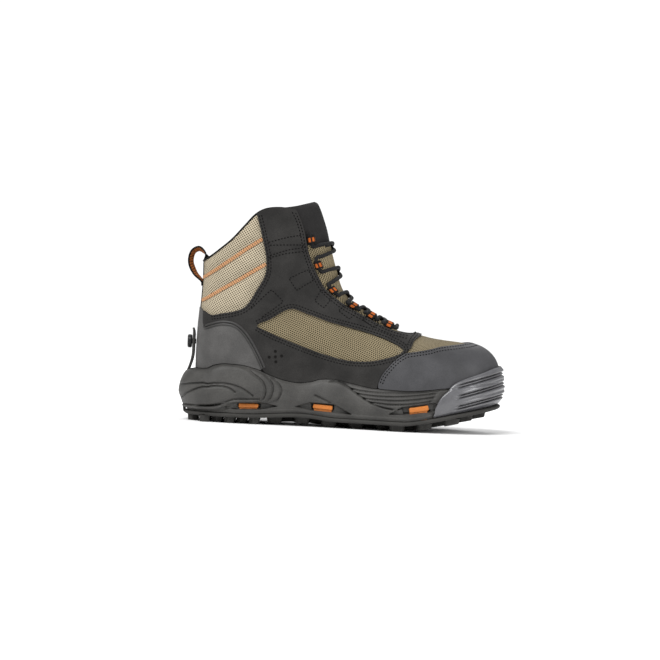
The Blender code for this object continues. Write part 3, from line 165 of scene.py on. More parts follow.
def monotone_curve(rows):
    """A function through (place, value) rows that never overshoots between two of them."""
    places = np.array([row[0] for row in rows])
    values = np.array([row[1] for row in rows])
    steps = np.diff(places)
    slopes = np.diff(values) / steps
    tangents = np.zeros_like(values)
    tangents[0] = slopes[0]
    tangents[-1] = slopes[-1]
    for i in range(1, len(places) - 1):
        if slopes[i - 1] * slopes[i] > 0:
            before = 2 * steps[i] + steps[i - 1]
            after = steps[i] + 2 * steps[i - 1]
            tangents[i] = (before + after) / (before / slopes[i - 1] + after / slopes[i])

    def value_at(place):
        place = np.clip(place, places[0], places[-1])
        span = np.clip(np.searchsorted(places, place, side="right") - 1, 0, len(steps) - 1)
        s = (place - places[span]) / steps[span]
        start = (1 + 2 * s) * (1 - s) ** 2 * values[span]
        start_slope = s * (1 - s) ** 2 * steps[span] * tangents[span]
        end = s * s * (3 - 2 * s) * values[span + 1]
        end_slope = s * s * (s - 1) * steps[span] * tangents[span + 1]
        return start + start_slope + end + end_slope

    return value_at


def flowing_line(spots, per_span=12, closed=False):
    """Points on a smooth curve through side-view spots, in metres."""
    knots = [np.array([spot[0] * BOOT_LENGTH, spot[1] * BOOT_HEIGHT]) for spot in spots]
    if closed:
        knots = [knots[-1]] + knots + [knots[0], knots[1]]
    else:
        knots = [2 * knots[0] - knots[1]] + knots + [2 * knots[-1] - knots[-2]]
    points = []
    for i in range(1, len(knots) - 2):
        p0, p1, p2, p3 = knots[i - 1:i + 3]
        t1 = np.linalg.norm(p1 - p0) ** 0.5
        t2 = t1 + np.linalg.norm(p2 - p1) ** 0.5
        t3 = t2 + np.linalg.norm(p3 - p2) ** 0.5
        for t in np.linspace(t1, t2, per_span, endpoint=False):
            a1 = (t1 - t) / t1 * p0 + t / t1 * p1
            a2 = (t2 - t) / (t2 - t1) * p1 + (t - t1) / (t2 - t1) * p2
            a3 = (t3 - t) / (t3 - t2) * p2 + (t - t2) / (t3 - t2) * p3
            b1 = (t2 - t) / t2 * a1 + t / t2 * a2
            b2 = (t3 - t) / (t3 - t1) * a2 + (t - t1) / (t3 - t1) * a3
            points.append((t2 - t) / (t2 - t1) * b1 + (t - t1) / (t2 - t1) * b2)
    if not closed:
        points.append(knots[-2])
    return np.array(points)


def arc_lengths(points):
    steps = np.linalg.norm(np.diff(points, axis=0), axis=1)
    return np.concatenate([[0.0], np.cumsum(steps)])


def along_arc(points, shares):
    """The points at the given shares of a polyline's length."""
    lengths = arc_lengths(points)
    wanted = np.asarray(shares) * lengths[-1]
    return np.stack([np.interp(wanted, lengths, points[:, k]) for k in range(points.shape[1])], axis=-1)


def metres(rows, named_size):
    """Rows of shares as (place, value) in metres."""
    return [(row[0] * BOOT_LENGTH, row[1] * named_size) for row in rows]


def round_off(share, roundness=2.25):
    """Rise from 0 to 1 as the quarter of a superellipse."""
    left = 1.0 - np.clip(share, 0.0, 1.0)
    return (1.0 - left ** roundness) ** (1.0 / roundness)


print("boot:", BOOT_LENGTH * 1000, "x", BOOT_HEIGHT * 1000, "mm")

# %% [markdown]
# ## From points to meshes
#
# Nearly every piece here is a grid of points bent to a surface, so one helper turns a grid into a mesh and
# gives it a cloth-like UV map in metres: U runs along the boot and V up it. A weave then keeps its true
# size everywhere, whatever the shape. Another helper sweeps a small outline along a path, for piping,
# laces and straps, and a third welds a mesh and turns its faces outwards. Every piece hangs on the boot's
# one body and names the finish it takes.

# %% Mesh helpers
BODY = "root"


def finish_piece(mesh, name, materials, node=None, smooth_angle=40.0):
    """Turn a mesh in the boot's own frame into a piece on the boot. Node is the solid it stands for."""
    mesh.transform(Matrix.Translation((-HEEL_SEAT, 0.0, 0.0)))
    mesh.shade_smooth()
    mesh.set_sharp_from_angle(angle=math.radians(smooth_angle))
    for material in materials:
        mesh.materials.append(material)
    piece = in_scene(name, mesh)
    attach(piece, BODY)
    if node:
        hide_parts(node)
    return piece


def cloth_map(grid):
    """Lengths along the columns and up the rows of a grid, in metres."""
    along = np.zeros(grid.shape[:2])
    up = np.zeros(grid.shape[:2])
    along[1:] = np.cumsum(np.linalg.norm(np.diff(grid, axis=0), axis=2), axis=0)
    up[:, 1:] = np.cumsum(np.linalg.norm(np.diff(grid, axis=1), axis=2), axis=1)
    return np.stack([along, up], axis=2)


def grid_mesh(name, grid, flip=False, uv=None, closed=False):
    """A mesh of quads over a grid of points, with its cloth map. Closed joins the last row to the first."""
    rows, columns = grid.shape[:2]
    uv = cloth_map(grid) if uv is None else uv
    index = np.arange(rows * columns).reshape(rows, columns)
    after = np.roll(index, -1, axis=0) if closed else index[1:]
    before = index if closed else index[:-1]
    quads = np.stack([before[:, :-1], after[:, :-1], after[:, 1:], before[:, 1:]], axis=2).reshape(-1, 4)
    if flip:
        quads = quads[:, ::-1]
    mesh = bpy.data.meshes.new(name)
    mesh.from_pydata(grid.reshape(-1, 3).tolist(), [], quads.tolist())
    layer = mesh.uv_layers.new(name="cloth")
    layer.data.foreach_set("uv", uv.reshape(-1, 2)[quads.reshape(-1)].reshape(-1))
    mesh.update()
    return mesh


def joined(name, meshes):
    """One mesh out of several, which are used up."""
    shape = bmesh.new()
    for mesh in meshes:
        shape.from_mesh(mesh)
        bpy.data.meshes.remove(mesh)
    whole = bpy.data.meshes.new(name)
    shape.to_mesh(whole)
    shape.free()
    return whole


def mended(mesh, distance, fill=False, face_out=True):
    """Join points of a mesh that coincide, fill its open ends if asked, and turn its faces outwards."""
    shape = bmesh.new()
    shape.from_mesh(mesh)
    bmesh.ops.remove_doubles(shape, verts=shape.verts, dist=distance)
    if fill:
        bmesh.ops.holes_fill(shape, edges=[edge for edge in shape.edges if edge.is_boundary], sides=0)
    if face_out:
        bmesh.ops.recalc_face_normals(shape, faces=shape.faces)
    shape.to_mesh(mesh)
    shape.free()
    mesh.update()
    return mesh


def unit(vectors):
    """The same directions, each of length 1."""
    return vectors / np.maximum(np.linalg.norm(vectors, axis=-1, keepdims=True), 1e-12)


def sweep(name, path, outline, ups=(0.0, 0.0, 1.0)):
    """Draw an outline of (side, out) points along a path of 3-D points. Ups are the outward directions."""
    path = np.asarray(path, dtype=float)
    tangents = unit(np.gradient(path, axis=0))
    sides = unit(np.cross(tangents, np.broadcast_to(ups, path.shape)))
    outs = np.cross(sides, tangents)
    outline = np.asarray(outline, dtype=float)
    if outline.ndim == 2:
        outline = np.tile(outline, (len(path), 1, 1))
    grid = path[:, None] + sides[:, None] * outline[:, :, :1] + outs[:, None] * outline[:, :, 1:]
    return mended(grid_mesh(name, np.concatenate([grid, grid[:, :1]], axis=1)), 1e-7, fill=True)


def round_outline(radius_side, radius_out, count=10):
    """An ellipse as an outline for a sweep."""
    angles = np.linspace(0.0, 2 * math.pi, count, endpoint=False)
    return np.stack([radius_side * np.cos(angles), radius_out * np.sin(angles)], axis=1)


# %% [markdown]
# ## Finishes
#
# The boot has a dozen finishes, and most are one of three kinds. Coated synthetic and moulded rubber are a
# dark colour with a fine grain in the surface and broad, faint clouds of wear. Mesh cloth is light threads
# over dark gaps, drawn from sine waves along the cloth map, so the threads bend with the piece.
# Webbing is a band with a coloured figure down its middle. Each is made in shader nodes, and a bump from
# the same pattern lets light catch the threads. Colours are given as they look, from 0 to 255.

# %% Colours
def look(red, green, blue):
    """A colour as it looks on a screen, turned into the light values that the shader mixes."""
    def linear(value):
        value = value / 255.0
        return value / 12.92 if value <= 0.04045 else ((value + 0.055) / 1.055) ** 2.4

    return (linear(red), linear(green), linear(blue), 1.0)


def dimmed(colour, share):
    """A colour with its light times a share."""
    return tuple(channel * share for channel in colour[:3]) + (1.0,)


def grey(value):
    return (value, value, value, 1.0)


print("a colour of 128 mixes as", round(look(128, 128, 128)[0], 3))

# %% [markdown]
# A small class keeps the node work readable. Each of its methods adds one node, joins it and hands back its
# output, so a finish reads like a recipe.

# %% The finish class
class Finish:
    """A material under construction: adds nodes and joins them."""

    def __init__(self, name, roughness, shine):
        self.material = bpy.data.materials.new(name)
        self.material.use_nodes = True
        self.nodes = self.material.node_tree.nodes
        self.links = self.material.node_tree.links
        self.shader = self.nodes["Principled BSDF"]
        self.shader.inputs["Roughness"].default_value = roughness
        self.shader.inputs["Specular IOR Level"].default_value = shine

    def add(self, kind, **settings):
        node = self.nodes.new(kind)
        for key, value in settings.items():
            setattr(node, key, value)
        return node

    def feed(self, socket, value):
        """Give a socket a constant, or join another node's output to it."""
        if isinstance(value, (tuple, float, int)):
            socket.default_value = value
        elif value is not None:
            self.links.new(value, socket)

    def cloth_axes(self):
        """The cloth map's two lengths, in metres."""
        split = self.add("ShaderNodeSeparateXYZ")
        self.feed(split.inputs["Vector"], self.add("ShaderNodeUVMap", uv_map="cloth").outputs["UV"])
        return split.outputs["X"], split.outputs["Y"]

    def maths(self, operation, first, second=None):
        node = self.add("ShaderNodeMath", operation=operation)
        self.feed(node.inputs[0], first)
        self.feed(node.inputs[1], second)
        return node.outputs["Value"]

    def wave(self, length, pitch):
        """A sine wave from 0 to 1 along a length, one crest per pitch."""
        turned = self.maths("SINE", self.maths("MULTIPLY", length, 2 * math.pi / pitch))
        return self.maths("ADD", self.maths("MULTIPLY", turned, 0.5), 0.5)

    def noise(self, size, detail=3.0):
        """Cloudy noise whose patches are about that size, in metres."""
        node = self.add("ShaderNodeTexNoise")
        node.inputs["Scale"].default_value = 1.0 / size
        node.inputs["Detail"].default_value = detail
        self.feed(node.inputs["Vector"], self.add("ShaderNodeTexCoord").outputs["Object"])
        return node.outputs["Fac"]

    def hollows(self, reach):
        """From 0 in a narrow hollow of the piece's own shape to 1 where it lies open."""
        node = self.add("ShaderNodeAmbientOcclusion", samples=8, only_local=True)
        node.inputs["Distance"].default_value = reach
        return node.outputs["AO"]

    def ramp(self, value, low, high):
        """Fade from one colour to another. Low and high are each a place from 0 to 1 and its colour."""
        node = self.add("ShaderNodeValToRGB")
        for element, (place, colour) in zip(node.color_ramp.elements, (low, high)):
            element.position = place
            element.color = colour
        self.feed(node.inputs["Fac"], value)
        return node.outputs["Color"]

    def blend(self, share, first, second, mode="MIX"):
        node = self.add("ShaderNodeMix", data_type="RGBA", blend_type=mode)
        for index, value in ((0, share), (6, first), (7, second)):
            self.feed(node.inputs[index], value)
        return node.outputs[2]

    def bump(self, value, depth):
        node = self.add("ShaderNodeBump")
        node.inputs["Strength"].default_value = 1.0
        node.inputs["Distance"].default_value = depth
        self.feed(node.inputs["Height"], value)
        return node.outputs["Normal"]

    def finish(self, colour, normal):
        self.feed(self.shader.inputs["Base Color"], colour)
        self.feed(self.shader.inputs["Normal"], normal)
        return self.material


print("steps in a recipe:", sum(1 for step in vars(Finish) if not step.startswith("_")))

# %% [markdown]
# Coated synthetic and rubber share one recipe. Two noises meet in it: a fine one, well under a millimetre,
# is the grain that breaks up the shine, and a broad one shifts the colour a little from place to place, as
# handling does. Where a moulded piece has grooves, shade is painted into them: its narrow hollows are
# darkened in the colour itself. Only the colour, shine, grain, its depth and the painted shade differ between
# the finishes.

# %% Synthetic and rubber finishes
HOLLOW_REACH = 0.0032
CLOUD_SIZE = 0.022
SPECKLE = 0.35


def grained(name, colour, roughness, grain, depth, cloud=0.16, shine=0.3, hollow_shade=0.0):
    """A dark moulded or coated surface with a fine grain and faint clouds. The last argument darkens its
    narrow hollows with painted shade.
    """
    make = Finish(name, roughness, shine)
    fine = make.noise(grain, 2.0)
    broad = make.noise(CLOUD_SIZE, 4.0)
    clouded = make.ramp(broad, (0.35, dimmed(colour, 1.0 - cloud)), (0.65, dimmed(colour, 1.0 + cloud)))
    specks = make.ramp(fine, (0.3, grey(0.25)), (0.7, grey(0.8)))
    speckled = make.blend(SPECKLE, clouded, specks, "OVERLAY")
    # Painted shade: the colour is darkened in narrow hollows and grooves, where less light reaches.
    if hollow_shade:
        shade = make.ramp(make.hollows(HOLLOW_REACH), (0.35, grey(1.0 - hollow_shade)), (0.80, grey(1.0)))
        speckled = make.blend(1.0, speckled, shade, "MULTIPLY")
    return make.finish(speckled, make.bump(fine, depth))


# Each is given by its name, colour, roughness, and the size and depth of its grain in metres
BLACK_SYNTHETIC = grained("black_synthetic", look(40, 39, 38), 0.6, 0.0008, 0.00024, cloud=0.24, shine=0.14)
GREY_SYNTHETIC = grained("grey_synthetic", look(73, 72, 71), 0.58, 0.0007, 0.00016, cloud=0.2, shine=0.3)
CAP_SYNTHETIC = grained("cap_synthetic", look(57, 57, 59), 0.5, 0.0006, 0.0001, cloud=0.16, shine=0.3)
# The midsole, bumper and sole take painted shade in their narrow hollows.
MIDSOLE_FOAM = grained("midsole_foam", look(60, 59, 57), 0.55, 0.0009, 0.00014, 0.22, 0.32, hollow_shade=0.8)
BUMPER_RUBBER = grained("bumper_rubber", look(80, 80, 83), 0.3, 0.0008, 0.00008, shine=0.9, hollow_shade=0.9)
PIPING = grained("counter_piping", look(52, 51, 50), 0.5, 0.0006, 0.0001, shine=0.3)
SOLE_RUBBER = grained("sole_rubber", look(50, 49, 47), 0.7, 0.0007, 0.0001, shine=0.25, hollow_shade=0.5)
BINDING = grained("black_binding", look(20, 19, 18), 0.75, 0.0005, 0.0001, shine=0.1)
POST_PLASTIC = grained("post_plastic", look(16, 16, 17), 0.38, 0.0006, 0.00003, cloud=0.05)
ORANGE_PLASTIC = grained("orange_plastic", look(176, 104, 44), 0.42, 0.0006, 0.00003, cloud=0.06)
THREAD = grained("stitching_thread", look(5, 5, 5), 0.7, 0.0003, 0.00005, shine=0.1)
# The lining's dark also covers the upper's outer faces under the overlays, as painted shade in the gap above
# the midsole.
LINING_AND_GAP_SHADE = grained("dark_lining_and_gap_shade", look(30, 29, 28), 0.9, 0.0006, 0.0001, shine=0.1)
INSOLE_CLOTH = grained("insole_cloth", look(34, 34, 34), 0.9, 0.0006, 0.0001)
print("grained finishes ready, the last is", INSOLE_CLOTH.name)

# %% [markdown]
# The mesh is the finish that catches the eye. Its light threads run both ways with a dark hole in each
# cell. Multiplying a wave along the cloth by a wave up it gives rows of round holes, and a slow wave that
# shifts one of them makes the zigzag of the ankle's weave. Real cloth images would carry a scanner's
# lighting with them, while these waves have just the pitch and slant that the real mesh shows, about 2 mm.

# %% Mesh cloth
WEAVE_DEPTH = 0.0005
WORN = 0.1
WORN_SIZE = 0.03
HOLE_EDGE = 0.26


def mesh_cloth(name, thread, gap, pitch, zigzag=0.0, turn=0.0, dark=0.2):
    """Light threads over dark gaps.

    Zigzag is how far the rows swing, in metres, and turn tilts the weave. A low dark makes the gaps wide.
    """
    make = Finish(name, 0.85, 0.15)
    u, v = make.cloth_axes()
    cosine, sine = math.cos(math.radians(turn)), math.sin(math.radians(turn))
    along = make.maths("ADD", make.maths("MULTIPLY", u, cosine), make.maths("MULTIPLY", v, sine))
    up = make.maths("SUBTRACT", make.maths("MULTIPLY", v, cosine), make.maths("MULTIPLY", u, sine))
    swing = make.maths("MULTIPLY", make.wave(up, pitch * 3.2), zigzag)
    across = make.wave(make.maths("ADD", along, swing), pitch)
    rise = make.wave(up, pitch * 0.92)
    hole = make.maths("MULTIPLY", across, rise)
    threads = make.ramp(make.noise(WORN_SIZE), (0.35, dimmed(thread, 1.0 - WORN)), (0.65, thread))
    shown = make.ramp(hole, (dark, grey(0.0)), (dark + HOLE_EDGE, grey(1.0)))
    low = make.maths("SUBTRACT", 1.0, hole)
    return make.finish(make.blend(shown, threads, gap), make.bump(low, WEAVE_DEPTH))


COLLAR_MESH = mesh_cloth("collar_mesh", look(184, 172, 149), look(50, 43, 29), 0.0021, turn=33.0, dark=0.19)
ANKLE_MESH = mesh_cloth("ankle_mesh", look(138, 126, 100), look(24, 20, 10), 0.0021, 0.0016, -20.0, dark=0.14)
VAMP_MESH = mesh_cloth("vamp_mesh", look(134, 123, 100), look(42, 38, 27), 0.0019, turn=20.0, dark=0.19)
TONGUE_MESH = mesh_cloth("tongue_mesh", look(162, 148, 118), look(30, 26, 17), 0.0021, turn=45.0, dark=0.18)
TONGUE_CLOTH = grained("tongue_cuff", look(38, 37, 37), 0.8, 0.0006, 0.00015, shine=0.12)
print("mesh cloths: 4")

# %% [markdown]
# Webbing and laces come from the same waves. On the webbing an orange figure runs down the middle of a
# black band, and the cord's braid is two waves that cross at a slant.

# %% Webbing, cord and channel finishes
RIB_PITCH = Spot(0.0007, 0.0009)
RIB_DEPTH = 0.00025
STRAND_DEPTH = 0.0003


def figured_webbing(name, ground, figure, width, pitch, spread=0.46, between=0.0):
    """A narrow woven band: the figure down its middle, the ground colour at its edges.

    Spread is the figure's share of the width, and between is how much of it shows from bar to bar.
    """
    make = Finish(name, 0.75, 0.15)
    along, across = make.cloth_axes()
    middle = make.maths("ABSOLUTE", make.maths("SUBTRACT", across, width / 2))
    off_middle = make.maths("DIVIDE", middle, width / 2)
    inside = make.ramp(off_middle, (spread, grey(1.0)), (spread + 0.14, grey(0.0)))
    bars = make.ramp(make.wave(along, pitch), (0.22, grey(between)), (0.45, grey(1.0)))
    shown = make.blend(1.0, inside, bars, "MULTIPLY")
    ribs = make.maths("MULTIPLY", make.wave(along, RIB_PITCH.along), make.wave(across, RIB_PITCH.up))
    return make.finish(make.blend(shown, ground, figure), make.bump(ribs, RIB_DEPTH))


def braided_cord(name, colour, pitch):
    """Two slanted waves that cross, as strands do round a braid. The colour is darker between the strands, as
    painted shade.
    """
    make = Finish(name, 0.7, 0.2)
    along, across = make.cloth_axes()
    one = make.wave(make.maths("ADD", along, across), pitch)
    two = make.wave(make.maths("SUBTRACT", along, across), pitch)
    strands = make.maths("MAXIMUM", one, two)
    # Painted shade: the colour drops to under half in the low places between the strands.
    braid = make.ramp(strands, (0.4, dimmed(colour, 0.45)), (0.9, colour))
    return make.finish(braid, make.bump(strands, STRAND_DEPTH))


LOOP_WEBBING = figured_webbing("loop_webbing", look(18, 17, 17), look(172, 88, 34), 0.0078, 0.0042)
PULL_WEBBING = figured_webbing("pull_webbing", look(16, 15, 14), look(168, 98, 46), 0.009, 0.0026, 0.72, 0.32)
LACE_BRAID = braided_cord("lace_braid", look(34, 34, 35), 0.0014)
CHANNEL_THREAD = mesh_cloth("channel_thread", look(196, 146, 106), look(104, 78, 54), 0.0021, turn=33.0)
print("woven finishes: 4")

# %% [markdown]
# ## The outline that everything shares
#
# A maker starts from the last, the wooden foot inside. Its outline from above sets the sole, and the sole
# sets the rest. Three insets (heel, side, toe) move that outline inwards, so one function draws the edge of
# the sole, of the midsole and of the upper. These are the same numbers as the plain solids', so every fine
# piece lies exactly where its solid does.

# %% The sole's outline and heights
PLAN_ROWS = (
    (0.00, 0.78), (0.20, 0.79), (0.30, 0.735), (0.40, 0.67), (0.50, 0.725), (0.60, 0.88), (0.70, 1.00),
    (0.80, 0.965), (0.90, 0.93), (1.00, 0.86),
)
SWING_ROWS = ((0.00, 0.0), (0.45, 0.0), (0.60, 0.27), (0.75, 0.57), (0.90, 0.85), (1.00, 1.0))
RIM_ROWS = (
    (0.000, 0.232), (0.040, 0.232), (0.074, 0.235), (0.098, 0.252), (0.131, 0.261), (0.175, 0.259),
    (0.222, 0.246), (0.277, 0.216), (0.318, 0.199), (0.359, 0.192), (0.393, 0.198), (0.430, 0.213),
    (0.461, 0.215), (0.517, 0.202), (0.599, 0.184), (0.688, 0.181), (0.806, 0.199), (0.907, 0.224),
    (1.000, 0.247),
)
RISE_ROWS = (
    (0.000, 0.000), (0.190, 0.000), (0.365, 0.013), (0.490, 0.000), (0.680, 0.000), (0.767, 0.018),
    (0.866, 0.050), (0.938, 0.073), (1.000, 0.094),
)
FOOTBED_ROWS = ((0.000, 0.074), (0.250, 0.070), (0.450, 0.058), (0.700, 0.042), (1.000, 0.040))
TOE_SWING = 0.0155
HEEL_ROUND = 0.045
TOE_ROUND = 0.064
SOLE_PLATE = 0.0045
LUG_HEIGHT = 0.006
SEAT_GAP = 0.00035
CURVE_GAP = 0.0006

plan_width = monotone_curve(metres(PLAN_ROWS, BALL_WIDTH / 2))
plan_middle = monotone_curve(metres(SWING_ROWS, TOE_SWING))
rim_height = monotone_curve(metres(RIM_ROWS, BOOT_HEIGHT))
sole_rise = monotone_curve(metres(RISE_ROWS, BOOT_HEIGHT))
footbed_height = monotone_curve(metres(FOOTBED_ROWS, BOOT_HEIGHT))


def base_height(x):
    """Height of the midsole's underside."""
    return SOLE_PLATE + LUG_HEIGHT + sole_rise(x)


def floor_height(x):
    """Height of the bottom of the midsole's cup."""
    return base_height(x) + footbed_height(x)


def plan_half(x, heel_inset=0.0, side_inset=0.0, toe_inset=0.0):
    """Half the width of the sole's outline, moved inwards by three insets."""
    heel = round_off((x - heel_inset) / HEEL_ROUND)
    toe = round_off((BOOT_LENGTH - toe_inset - x) / TOE_ROUND)
    return np.maximum(plan_width(x) - side_inset, 0.0) * heel * toe


def inset_outline(share, heel, side, toe):
    """The sole's outline at shares along it, moved inwards by three insets: place and half width."""
    x = heel + share * (BOOT_LENGTH - toe - heel)
    return x, np.where((share <= 0.0) | (share >= 1.0), 0.0, plan_half(x, heel, side, toe))


def even_shares(counts, breaks=(0.0, 0.24, 0.70, 1.0)):
    """Shares along the sole, evenly spaced on the arc of each stretch of its outline."""
    dense = 0.5 - 0.5 * np.cos(np.linspace(0.0, math.pi, 801))
    x = dense * BOOT_LENGTH
    arc = arc_lengths(np.stack([x, plan_half(x)], axis=1))
    stops = np.interp(breaks, dense, arc)
    wanted = [stops[0]]
    for start, end, count in zip(stops, stops[1:], counts):
        wanted += list(np.linspace(start, end, count + 1)[1:])
    return np.interp(wanted, arc, dense)


print("widest:", round(float(2 * plan_half(0.7 * BOOT_LENGTH)) * 1000, 1), "mm")

# %% [markdown]
# ## The midsole
#
# The midsole is what makes this boot look heavy. It swells at the heel, sinks at the arch and is pressed
# with lines: a swelling round the heel with two steps in front of it, an arched panel, a wave that runs
# into four stitched ribs at the forefoot, and three long hollows low on the side for the clips.
# All of these are drawn as lines and outlines seen from the side. Each point of a fine grid then moves in
# or out by its distance to them. Drawing them into the mesh, and not only into the shading, makes the
# edges catch light from every side.

# %% Distances to drawn lines
def line_distance(points, line):
    """Distance from each side-view point to a polyline."""
    best = np.full(len(points), 1e9)
    for start, end in zip(line, line[1:]):
        run = end - start
        share = np.clip(((points - start) @ run) / max(run @ run, 1e-12), 0.0, 1.0)
        gap = points - start - share[:, None] * run
        best = np.minimum(best, np.einsum("ij,ij->i", gap, gap))
    return np.sqrt(best)


def inside(points, outline):
    """Which side-view points an outline holds, by counting its edges to the right of each."""
    held = np.zeros(len(points), dtype=bool)
    for (x0, z0), (x1, z1) in zip(outline, np.roll(outline, -1, axis=0)):
        crosses = (z0 > points[:, 1]) != (z1 > points[:, 1])
        run = np.where(abs(z1 - z0) < 1e-12, 1e-12, z1 - z0)
        held ^= crosses & (points[:, 0] < x0 + (points[:, 1] - z0) * (x1 - x0) / run)
    return held


def outline_distance(points, outline):
    """Distance to an outline, negative inside it."""
    gap = line_distance(points, np.vstack([outline, outline[:1]]))
    return np.where(inside(points, outline), -gap, gap)


def spots_to_metres(spots):
    return np.array(spots) * (BOOT_LENGTH, BOOT_HEIGHT)



# %% [markdown]
# The lines are spots on the boot's side, each a share of its length and its height. A step or a panel needs
# its distance with a sign, because one side of it lies deeper, while a groove only needs to know how near
# its line is. The depths are a millimetre or two: with less, no shadow shows from a step away.

# %% Lines pressed into the midsole
HEEL_CUP = 0.0126
SIDE_CUP = 0.0062
TOE_CUP = 0.0068
BUMPER_TAKES_OVER = Span(0.756, 0.806)
# How far in the wall stands at each share of its height, as shares of the cup's own insets
HEEL_LEVELS = (
    (0.00, 0.39), (0.10, 0.30), (0.13, 0.33), (0.29, 0.16), (0.37, 0.05), (0.45, 0.00), (0.53, 0.02),
    (0.61, 0.06), (0.69, 0.13), (0.90, 0.45), (1.00, 0.86),
)
SIDE_LEVELS = (
    (0.00, 0.50), (0.10, 0.24), (0.13, 0.40), (0.29, 0.18), (0.37, 0.07), (0.45, 0.00), (0.53, 0.02),
    (0.61, 0.06), (0.69, 0.13), (0.90, 0.44), (1.00, 0.88),
)
TOE_LEVELS = (
    (0.00, 1.10), (0.10, 0.98), (0.13, 0.94), (0.29, 0.74), (0.37, 0.67), (0.45, 0.61), (0.53, 0.60),
    (0.90, 0.60), (1.00, 0.88),
)
heel_level = monotone_curve(HEEL_LEVELS)
side_level = monotone_curve(SIDE_LEVELS)
toe_level = monotone_curve(TOE_LEVELS)

HEEL_STEPS = (
    ((-0.05, 0.262), (0.060, 0.262), (0.105, 0.266), (0.151, 0.258), (0.176, 0.253), (0.205, 0.238),
     (0.224, 0.217), (0.252, 0.185), (0.260, 0.147), (0.251, 0.112), (0.230, 0.100), (0.150, 0.090),
     (0.100, 0.080), (-0.05, 0.070)),
    ((-0.05, 0.275), (0.100, 0.275), (0.176, 0.262), (0.202, 0.249), (0.233, 0.235), (0.258, 0.215),
     (0.279, 0.176), (0.279, 0.149), (0.268, 0.112), (0.230, 0.095), (-0.05, 0.060)),
    ((-0.05, 0.290), (0.150, 0.280), (0.204, 0.254), (0.243, 0.233), (0.285, 0.197), (0.304, 0.160),
     (0.302, 0.141), (0.290, 0.112), (0.230, 0.090), (-0.05, 0.050)),
)
PANEL_LINES = (
    ((0.008, 0.157), (0.024, 0.162), (0.051, 0.169), (0.097, 0.176), (0.148, 0.175), (0.189, 0.160),
     (0.227, 0.127)),
    ((0.012, 0.103), (0.025, 0.121), (0.041, 0.135), (0.077, 0.157), (0.111, 0.164), (0.151, 0.158),
     (0.173, 0.140)),
    ((0.000, 0.067), (0.070, 0.073), (0.111, 0.079), (0.144, 0.094), (0.170, 0.107), (0.209, 0.111),
     (0.246, 0.114)),
    ((0.455, 0.206), (0.476, 0.209), (0.509, 0.189), (0.543, 0.156), (0.576, 0.127), (0.612, 0.107),
     (0.654, 0.097)),
    ((0.411, 0.141), (0.433, 0.129), (0.458, 0.113)),
)
RIB_LINES = (
    ((0.524, 0.178), (0.553, 0.172), (0.599, 0.169), (0.659, 0.171), (0.721, 0.180), (0.790, 0.195)),
    ((0.544, 0.158), (0.572, 0.154), (0.613, 0.152), (0.659, 0.154), (0.721, 0.163), (0.785, 0.178)),
    ((0.563, 0.139), (0.591, 0.137), (0.626, 0.136), (0.666, 0.137), (0.722, 0.146), (0.780, 0.161)),
    ((0.586, 0.123), (0.614, 0.121), (0.645, 0.119), (0.676, 0.121), (0.722, 0.129), (0.772, 0.143)),
)
FOREFOOT_PANEL = ((0.476, 0.215),) + PANEL_LINES[3][2:] + (
    (0.700, 0.108), (0.800, 0.140), (0.850, 0.230), (0.700, 0.230), (0.560, 0.225),
)
SLOTS = (
    ((0.172, 0.091), (0.241, 0.097), (0.240, 0.074), (0.173, 0.071)),
    ((0.399, 0.106), (0.471, 0.104), (0.471, 0.079), (0.402, 0.078)),
    ((0.683, 0.108), (0.776, 0.130), (0.774, 0.100), (0.690, 0.080)),
)
FLARES = (
    ((0.126, 0.066), (0.169, 0.093), (0.244, 0.100), (0.296, 0.086), (0.248, 0.070), (0.170, 0.064)),
    ((0.353, 0.088), (0.396, 0.109), (0.471, 0.107), (0.525, 0.066), (0.469, 0.070), (0.403, 0.074)),
    ((0.642, 0.077), (0.683, 0.112), (0.776, 0.136), (0.826, 0.120), (0.776, 0.096), (0.693, 0.076)),
)
STEP_RISE = 0.0015
STEP_EDGE = 0.0009
STEP_GROOVE = 0.0012
STEP_GROOVE_STARTS = Span(0.100, 0.120)
PANEL_GROOVE = 0.0017
PANEL_SINK = 0.0014
RIB_GROOVE = 0.0019
LINE_WIDTH = 0.0010
SLOT_DEPTH = 0.0036
SLOT_EDGE = 0.0012
FLARE_DEPTH = 0.0027
FLARE_EDGE = 0.0010
RIB_STITCH = 0.0026
RIB_STITCH_SHARE = 0.15


def inside_edge(distance, edge, lead=0.5):
    """From 0 outside an outline to 1 inside it, over the width of its edge."""
    return 1.0 - smoothstep(distance / edge + lead)


def near_line(points, line):
    """1 on a pressed line, fading to 0 a line's width away."""
    return np.exp(-(line_distance(points, flowing_line(line, 8)) / LINE_WIDTH) ** 2)


